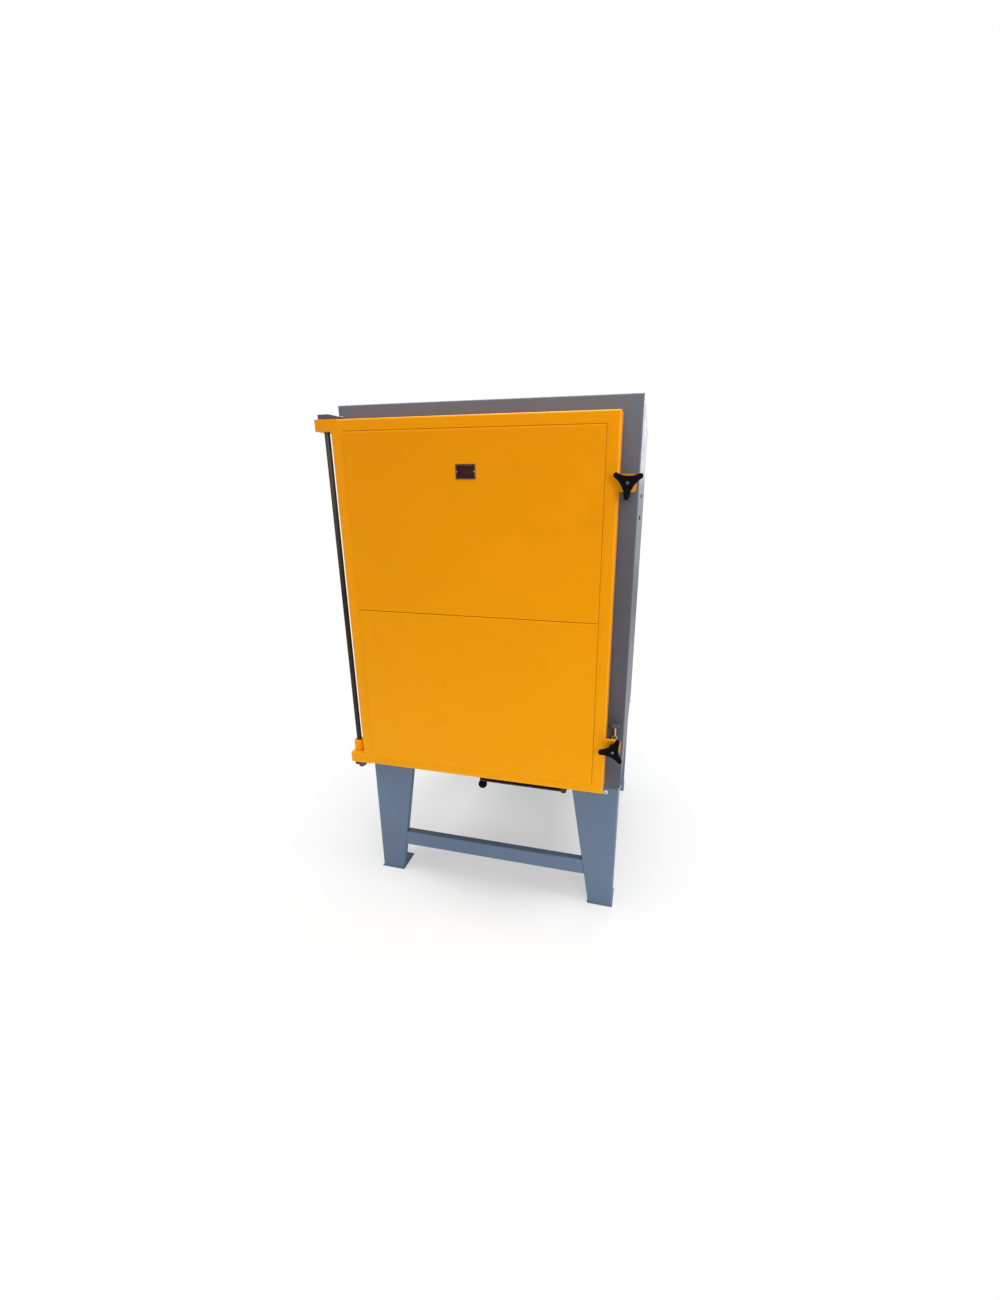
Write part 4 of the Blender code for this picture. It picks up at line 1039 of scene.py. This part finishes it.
@dataclass
class Heating:
    """Serpentine rods on both side walls, their racks and the bushes in the back wall."""

    rod: float = 0.0038
    facets: int = 12
    runs: int = 12
    end_margin: float = 0.110
    turn_margin: float = 0.045
    rack_edge: float = 0.0009
    bush: float = 0.0105
    bush_gap: float = 0.0008
    bush_length: float = 0.008
    bush_root: float = -0.02

    def build(self) -> None:
        """Build and dress the heating."""
        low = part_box("floor_lining")[1].z + self.end_margin
        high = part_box("roof_lining")[0].z - self.end_margin
        levels = [low + (high - low) * index / (self.runs - 1) for index in range(self.runs)]
        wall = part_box("back_lining")[0].y
        ends = []
        for side in ("left", "right"):
            node = side + "_heating_element"
            box_low, box_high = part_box(node)
            x = (box_low.x + box_high.x) / 2
            rods = Piece(node + "_rods").add(self.serpentine(x, box_high.y, levels))
            rods.finish(OXIDISED, node, replaces=True, smooth=ROUND)
            rounded_node(side + "_element_rack", CERAMIC, self.rack_edge)
            ends += [aimed((x, wall, level), FRONT) for level in (levels[0], levels[-1])]
        inner, length = self.rod + self.bush_gap, self.bush_length
        profile = [(inner, self.bush_root), (inner, length), (self.bush * 0.9, length)]
        profile += [(self.bush, length * 0.8), (self.bush, self.bush_root)]
        Piece("element_bushes").add(turned(profile, 28), ends).finish(CERAMIC, "back_lining")

    def serpentine(self, x: float, tail: float, levels: list[float]) -> BMesh:
        """One rod, run to and fro along a side wall.

        Args:
            x: Distance of its plane from the middle of the frame.
            tail: How far back both ends reach.
            levels: Heights of its runs.

        Returns:
            The rod.
        """
        radius = (levels[1] - levels[0]) / 2
        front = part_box("left_lining")[0].y + self.turn_margin + radius
        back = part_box("back_lining")[0].y - self.turn_margin - radius
        form = bmesh.new()
        place = Matrix.Translation((x, tail, levels[0])) @ Matrix.Rotation(math.pi / 2, 4, "X")
        bmesh.ops.create_circle(form, cap_ends=False, segments=self.facets, radius=self.rod, matrix=place)
        first = list(form.edges)
        ring = run(form, first, (0.0, front - tail, 0.0))
        for index, level in enumerate(levels[:-1]):
            at_front = index % 2 == 0
            y = front if at_front else back
            ring = bend(form, ring, (x, y, level + radius), RIGHT, -180.0 if at_front else 180.0)
            away = (tail if index == len(levels) - 2 else back) if at_front else front
            ring = run(form, ring, (0.0, away - y, 0.0))
        bmesh.ops.holes_fill(form, edges=first + ring, sides=self.facets)
        return form


@dataclass
class Stand:
    """Folded legs on foot plates, the crossbars and the bolts that hold them."""

    leg_fold: float = 0.0055
    bar_fold: float = 0.0040
    wall: float = 0.011
    least_angle: float = 0.6
    edge: float = 0.0009
    bolt_from_side: float = 0.049
    bolt_from_top: float = 0.017
    bolt_sink: Span = (0.0005, 0.001)
    socket: float = 0.0026
    socket_plug: float = 0.0012
    weld: float = 0.0028
    weld_sink: float = 0.0016
    weld_margin: float = 0.006
    weld_slope: Span = (0.009, 0.002)

    def build(self) -> None:
        """Build and dress the stand."""
        for end, way in (("front", -1.0), ("rear", 1.0)):
            for side in ("left", "right"):
                self.folded(f"{end}_{side}_leg", 0.3, self.leg_fold, 4)
            self.folded(end + "_crossbar", 0.5, self.bar_fold, 3)
            self.bar_welds(end + "_crossbar", way)
        self.bolts()

    def folded(self, node: str, least: float, width: float, segments: int) -> None:
        """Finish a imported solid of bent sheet, with its long folds rounded.

        Args:
            node: The solid's name.
            least: Folds longer than this are rounded.
            width: Distance from the old edge to where the rounding starts.
            segments: Facets across the rounding.
        """
        piece = Piece(node + "_finished").copy_node(node)
        folds = [edge for edge in piece.form.edges if edge.calc_length() > least and self.is_fold(edge)]
        round_edges(piece.form, folds, width, segments)
        piece.finish(STAND_GREY, node, replaces=True, edge=self.edge)

    def is_fold(self, edge: BMEdge) -> bool:
        """Whether an edge is an outer bend between two wide walls, not the sheet's cut end."""
        outer = edge.is_manifold and edge.is_convex and edge.calc_face_angle() > self.least_angle
        return outer and min(face.calc_area() for face in edge.link_faces) > self.wall * edge.calc_length()

    def bar_welds(self, node: str, way: float) -> None:
        """A bead at each end of a crossbar.

        Args:
            node: The crossbar.
            way: -1 if its outer face looks to the front, 1 if to the back.
        """
        low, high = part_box(node)
        y = (low.y if way < 0 else high.y) - way * self.weld_sink
        beads = Piece(node + "_welds")
        for x, inward in ((low.x, 1.0), (high.x, -1.0)):
            above, below = [x + inward * slope for slope in self.weld_slope]
            top, foot = high.z - self.weld_margin, low.z + self.weld_margin
            beads.add(bead((above, y, top), (below, y, foot), self.weld))
        beads.finish(STAND_GREY, node, smooth=ROUND)

    def bolts(self) -> None:
        """A bolt on both faces of each leg, close under the body."""
        places = []
        sink_x, sink_y = self.bolt_sink
        for end, way in (("front", FRONT), ("rear", BACK)):
            for side, out in (("left", LEFT), ("right", RIGHT)):
                low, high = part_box(f"{end}_{side}_leg")
                x = low.x if side == "left" else high.x
                y = low.y if end == "front" else high.y
                z = high.z - self.bolt_from_top
                places.append(aimed((x - out[0] * self.bolt_from_side, y - way[1] * sink_y, z), way))
                places.append(aimed((x - out[0] * sink_x, y - way[1] * self.bolt_from_side, z), out))
        LEG_BOLT.fix("leg_bolts", places, PLATED, "front_right_leg")
        foot, top = LEG_BOLT.plate, LEG_BOLT.plate + self.socket_plug
        plug = turned([(0.0, foot), (self.socket, foot), (self.socket, top), (0.0, top)], 20)
        Piece("leg_bolt_sockets").add(plug, places).finish(DARK_SCREW, "front_right_leg")


@dataclass
class Hinge:
    """Brackets, rod, nut, washer and the welds that hold the brackets."""

    edge: float = 0.0020
    washer_edge: float = 0.0003
    rod_rim: float = 0.0012
    nut_rim: float = 0.001
    nut_dome: float = 0.36
    dome_steps: int = 8
    weld: float = 0.0032
    weld_proud: float = 0.0006
    brackets: tuple[str, str] = ("upper_hinge_bracket", "lower_hinge_bracket")

    def build(self) -> None:
        """Build and dress the hinge."""
        for node in self.brackets:
            rounded_node(node, BRACKET_GREY, self.edge)
        self.rod()
        self.nut()
        rounded_node("thrust_washer", PLATED, self.washer_edge)
        self.welds()

    @staticmethod
    def round_size(node: str) -> Span:
        """Radius and height of an upright round solid."""
        low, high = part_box(node)
        return (high.x - low.x) / 2, high.z - low.z

    def rod(self) -> None:
        """The hinge rod with broken ends."""
        radius, height = self.round_size("hinge_rod")
        rim = self.rod_rim
        profile = [(0.0, 0.0), (radius - rim, 0.0), (radius, rim), (radius, height - rim)]
        profile += [(radius - rim, height), (0.0, height)]
        piece = Piece("hinge_rod_finished").add(turned(profile, 40), [foot_of("hinge_rod")])
        piece.finish(DRAWN, "hinge_rod", replaces=True)

    def nut(self) -> None:
        """The domed nut under the lower bracket."""
        radius, height = self.round_size("hinge_rod_nut")
        rim, dome = self.nut_rim, height * self.nut_dome
        profile = [(0.0, height), (radius - rim, height), (radius, height - rim), (radius, dome)]
        for index in range(1, self.dome_steps):
            turn = math.radians(90.0 * index / self.dome_steps)
            profile.append((radius * math.cos(turn), dome - dome * math.sin(turn)))
        profile.append((0.0, 0.0))
        piece = Piece("hinge_rod_nut_finished").add(turned(profile, 32), [foot_of("hinge_rod_nut")])
        piece.finish(BRACKET_GREY, "hinge_rod_nut", replaces=True)

    def welds(self) -> None:
        """Beads where the brackets meet the body's front, and two bare ones at its corners."""
        pan_low, pan_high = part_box("front_frame")
        y = pan_low.y - self.weld_proud
        piece = Piece("bracket_welds")
        for node in self.brackets:
            low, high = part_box(node)
            for z in (low.z, high.z):
                piece.add(bead((pan_low.x + 0.003, y, z), (high.x + 0.001, y, z), self.weld))
            piece.add(bead((high.x, y, low.z), (high.x, y, high.z), self.weld))
        piece.finish(BRACKET_GREY, self.brackets[0], smooth=ROUND)
        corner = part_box(self.brackets[0])[1]
        bare = Piece("bare_welds")
        for x, proud, z, before, beyond, radius in (
            (corner.x, 0.001, corner.z, 0.010, 0.003, 0.0030),
            (pan_high.x, 0.0004, pan_low.z + 0.004, 0.006, -0.001, 0.0026),
        ):
            y = pan_low.y - proud
            bare.add(bead((x - before, y, z), (x + beyond, y, z), radius))
        bare.finish(WELD, self.brackets[0], smooth=ROUND)


@dataclass
class Door:
    """Frame, cover sheets, boss, name plate, fibre lining and rope seal."""

    edge: float = 0.0010
    boss_edge: float = 0.0008
    lining_edge: float = 0.0040
    plate_edge: float = 0.0004
    sheet_edge: float = 0.0026
    # Dark strips that stand for the shadow in the gaps round the cover sheets: painted shadow.
    shadow_line_width: float = 0.0015
    side_shadow_line: float = 0.0008
    shadow_line_proud: float = 0.00015
    lip_height: float = 0.0060
    lip_depth: float = 0.0009
    border_inset: float = 0.0022
    border_width: float = 0.0005
    border_height: float = 0.00012
    rivet_inset: float = 0.0035
    rope_facets: int = 16
    rope_width: float = 0.022
    rope_corner: float = 0.016

    def build(self) -> None:
        """Build and dress the door."""
        rounded_node("door_frame", YELLOW, self.edge, Body.DOOR)
        self.sheet("upper_cover_sheet")
        self.sheet("lower_cover_sheet")
        rounded_node("lower_hinge_boss", YELLOW, self.boss_edge, Body.DOOR)
        rounded_node("door_lining", FIBRE, self.lining_edge, Body.DOOR)
        self.joints()
        self.plate()
        self.seal()

    def sheet(self, node: str) -> None:
        """A cover sheet whose upper edge is dressed back over a narrow strip.

        Args:
            node: The sheet.
        """
        low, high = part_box(node)
        piece = Piece(node + "_finished").copy_node(node)
        form = piece.form
        level = (0.0, 0.0, high.z - self.lip_height)
        geometry = [*form.verts, *form.edges, *form.faces]
        bmesh.ops.bisect_plane(form, geom=geometry, plane_co=level, plane_no=(0.0, 0.0, 1.0))
        near = 10.0 * MERGE
        for vert in form.verts:
            if vert.co.z > high.z - near and vert.co.y < low.y + near:
                vert.co.y += self.lip_depth
        piece.finish(YELLOW, node, Body.DOOR, True, self.sheet_edge)

    @staticmethod
    def strips(name: str, bars: Sequence[tuple], proud: float, finish: Finish, slot: str) -> None:
        """Thin bars, sunk half into faces of the door.

        Args:
            name: The piece's name.
            bars: Left, foot, right and top of each bar, and the face's y.
            proud: How far they stand out.
            finish: What their surface is.
            slot: The node passed on to the finish, which hides nothing here.
        """
        piece = Piece(name)
        for left, foot, right, top, face in bars:
            piece.add(cuboid((left, face - proud, foot), (right, face + proud, top)))
        piece.finish(finish, slot, Body.DOOR)

    def joints(self) -> None:
        """Painted shadow lines in the gaps where the cover sheets end: above, at the right and at the seam.
        """
        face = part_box("door_frame")[0].y
        low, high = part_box("upper_cover_sheet")
        lower_low, lower_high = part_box("lower_cover_sheet")
        wide = self.shadow_line_width
        bars = (
            (low.x, high.z, high.x + wide, high.z + wide, face),
            (high.x, lower_low.z, high.x + self.side_shadow_line, high.z, face),
            (lower_low.x, lower_high.z, high.x, lower_high.z + wide, low.y),
        )
        self.strips("cover_sheet_shadow_lines", bars, self.shadow_line_proud, GAP_SHADOW_AMBER, "door_frame")

    def plate(self) -> None:
        """A bare plate with a pale line round it and two rivets."""
        rounded_node("name_plate", ANODISED, self.plate_edge, Body.DOOR)
        low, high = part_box("name_plate")
        line, inset, face = self.border_width, self.border_inset, low.y
        left, right, foot, top = low.x + inset, high.x - inset, low.z + inset, high.z - inset
        bars = (
            (left, foot, right, foot + line, face),
            (left, top - line, right, top, face),
            (left, foot + line, left + line, top - line, face),
            (right - line, foot + line, right, top - line, face),
        )
        self.strips("name_plate_line", bars, self.border_height, PLATE_LINE, "name_plate")
        middle = (low.z + high.z) / 2
        ends = (low.x + self.rivet_inset, high.x - self.rivet_inset)
        places = [aimed((x, face, middle), FRONT) for x in ends]
        RIVET.fix("name_plate_rivets", places, PLATED, "name_plate", Body.DOOR)

    def seal(self) -> None:
        """The braided rope, laid in one loop with soft corners."""
        low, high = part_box("door_seal")
        half, corner = self.rope_width / 2, self.rope_corner
        form = bmesh.new()
        bmesh.ops.create_circle(form, cap_ends=False, segments=self.rope_facets, radius=1.0)
        bmesh.ops.scale(form, vec=(half, (high.y - low.y) / 2, 1.0), verts=form.verts)
        centre = Vector(((low.x + high.x) / 2, (low.y + high.y) / 2, low.z + half))
        place = Matrix.Translation(centre) @ Matrix.Rotation(math.pi / 2, 4, "Y")
        bmesh.ops.transform(form, matrix=place, verts=form.verts)
        run_x = (high.x - low.x) / 2 - half - corner
        run_z = high.z - low.z - self.rope_width - 2 * corner
        right, left = centre.x + run_x, centre.x - run_x
        foot, top = centre.z + corner, centre.z + corner + run_z
        ring = list(form.edges)
        for step_x, step_z, x, z in (
            (run_x, 0.0, right, foot),
            (0.0, run_z, right, top),
            (-2.0 * run_x, 0.0, left, top),
            (0.0, -run_z, left, foot),
        ):
            ring = run(form, ring, (step_x, 0.0, step_z))
            ring = bend(form, ring, (x, centre.y, z), BACK, -90.0)
        run(form, ring, (run_x, 0.0, 0.0))
        bmesh.ops.remove_doubles(form, verts=form.verts, dist=MERGE)
        rope = Piece("door_seal_rope").add(form)
        rope.finish(YARN, "door_seal", Body.DOOR, replaces=True, smooth=ROUND)


@dataclass
class Clamp:
    """One star-knob clamp: fork, trunnion, screw and knob."""

    level: str
    angle: float
    body: Body
    insert: Steel
    pin: Steel
    fork_edge: float = 0.0008
    pin_edge: float = 0.0006
    screw_edge: float = 0.0004
    reach: float = 0.0392
    tip: float = 0.0078
    tip_turn: float = 74.0
    waist: float = 0.0192
    thickness: float = 0.016
    rounding: float = 0.0032
    hub: float = 0.0145
    hub_rim: float = 0.001
    screw_radius: float = 0.0045
    insert_radius: float = 0.0054
    insert_rim: float = 0.0006
    insert_length: float = 0.004
    insert_proud: float = 0.00015
    tip_steps: int = 10
    hollow_steps: int = 14

    def build(self) -> None:
        """Build and dress the clamp."""
        rounded_node(self.level + "_clamp_fork", CASING_GREY, self.fork_edge)
        rounded_node(self.level + "_trunnion", self.pin, self.pin_edge)
        rounded_node(self.level + "_clamp_screw", BRIGHT, self.screw_edge, self.body)
        self.knob()

    def outline(self) -> Profile:
        """Three tapered arms with round tips, joined by hollow curves.

        Returns:
            The star's outline about its own middle.
        """
        turn = math.radians(self.tip_turn)
        end = (self.reach + self.tip * math.cos(turn), self.tip * math.sin(turn))
        apart = math.radians(60.0) - math.atan2(end[1], end[0])
        along = math.hypot(*end) * math.cos(apart) - self.waist
        across = math.hypot(*end) * math.sin(apart)
        hollow = (along**2 + across**2) / (2.0 * along)
        spread = math.degrees(math.asin(across / hollow))
        points: Profile = []
        for arm in range(3):
            middle = self.angle + 120.0 * arm
            between = middle + 60.0
            away = self.waist + hollow
            points += self.arc(self.reach, middle, self.tip, middle, self.tip_turn, self.tip_steps)
            points += self.arc(away, between, hollow, between + 180.0, -spread, self.hollow_steps)[1:-1]
        return points

    @staticmethod
    def arc(off: float, bearing: float, radius: float, facing: float, half: float, steps: int) -> Profile:
        """Points of an arc round a centre that lies off the star's middle.

        Args:
            off: From the star's middle to the arc's centre.
            bearing: Direction of that centre, in degrees.
            radius: Radius of the arc.
            facing: Direction of the arc's own middle, in degrees.
            half: Half of the arc's turn, in degrees; a negative one runs backwards.
            steps: Stretches of the arc.

        Returns:
            The points, ends included.
        """
        away = math.radians(bearing)
        points: Profile = []
        for index in range(steps + 1):
            turn = math.radians(facing - half + 2.0 * half * index / steps)
            x = off * math.cos(away) + radius * math.cos(turn)
            points.append((x, off * math.sin(away) + radius * math.sin(turn)))
        return points

    def star(self) -> BMesh:
        """The outline raised to the arms' thickness, with both rims rounded.

        Returns:
            The star, lying on z = 0.
        """
        form = bmesh.new()
        face = form.faces.new([form.verts.new((u, v, 0.0)) for u, v in self.outline()])
        grown = bmesh.ops.extrude_face_region(form, geom=[face])["geom"]
        raised = [item for item in grown if isinstance(item, BMVert)]
        bmesh.ops.translate(form, vec=(0.0, 0.0, self.thickness), verts=raised)
        rims = [edge for edge in form.edges if abs(edge.verts[0].co.z - edge.verts[1].co.z) < MERGE]
        round_edges(form, rims, self.rounding, 5)
        return form

    def knob(self) -> None:
        """The moulded star, its hub and its metal insert."""
        node, screw = self.level + "_star_knob", self.level + "_clamp_screw"
        low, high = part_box(node)
        screw_low, screw_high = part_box(screw)
        x, z = (screw_low.x + screw_high.x) / 2, (screw_low.z + screw_high.z) / 2
        facing = Matrix(((1, 0, 0, x), (0, 0, 1, low.y), (0, 1, 0, z), (0, 0, 0, 1)))
        star = self.star()
        bmesh.ops.transform(star, matrix=facing, verts=star.verts)
        depth, inside, rim = high.y - low.y, self.thickness * 0.5, self.hub_rim
        hub = [(self.screw_radius, inside), (self.screw_radius, depth), (self.hub - rim, depth)]
        hub += [(self.hub, depth - rim), (self.hub * 0.97, inside)]
        piece = Piece(node + "_moulded").add(star).add(turned(hub, 40), [aimed((x, low.y, z), BACK)])
        piece.finish(PLASTIC, node, self.body, replaces=True, smooth=40.0)
        radius, length = self.insert_radius, self.insert_length
        cap = [(0.0, 0.0), (radius * 0.85, 0.0), (radius, self.insert_rim), (radius, length), (0.0, length)]
        face = aimed((x, low.y - self.insert_proud, z), BACK)
        insert = Piece(self.level + "_knob_insert").add(turned(cap, 28), [face])
        insert.finish(self.insert, screw, self.body, smooth=30.0)


@dataclass
class DamperLever:
    """The flat bar, its stud and its ball."""

    pivot_edge: float = 0.0008
    bar_edge: float = 0.0010
    ball: float = 0.017
    neck: float = 0.006
    ball_facets: int = 36
    ball_steps: int = 20

    def build(self) -> None:
        """Build and dress the lever."""
        rounded_node("lever_pivot", DARK_SCREW, self.pivot_edge)
        rounded_node("lever_bar", DARK_SCREW, self.bar_edge, Body.LEVER)
        low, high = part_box("lever_ball")
        start = math.asin(self.neck / self.ball)
        profile = [(0.0, high.z - low.z), (self.neck, high.z - low.z)]
        for index in range(self.ball_steps):
            turn = start + (math.pi - start) * index / self.ball_steps
            profile.append((self.ball * math.sin(turn), self.ball + self.ball * math.cos(turn)))
        profile.append((0.0, 0.0))
        ball = Piece("lever_ball_moulded").add(turned(profile, self.ball_facets), [foot_of("lever_ball")])
        ball.finish(PLASTIC, "lever_ball", Body.LEVER, replaces=True, smooth=50.0)


def main() -> None:
    """Build the furnace in order."""
    logging.basicConfig(level=logging.INFO, format="%(name)s: %(message)s")
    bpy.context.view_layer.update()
    Studio().build()
    assemblies = (
        Casing(),
        TerminalCover(),
        Chamber(),
        Heating(),
        Stand(),
        Hinge(),
        Door(),
        # The upper trunnion wears the blackened finish as painted shade; the same part in the lower clamp is
        # bare turned steel.
        Clamp("upper", -92.0, Body.UPPER_KNOB, DULL_INSERT, DARK_SCREW),
        Clamp("lower", -51.6, Body.LOWER_KNOB, BRASS, PIN),
        DamperLever(),
    )
    for assembly in assemblies:
        LOG.info("building %s", type(assembly).__name__)
        assembly.build()


if __name__ == "__main__":
    main()
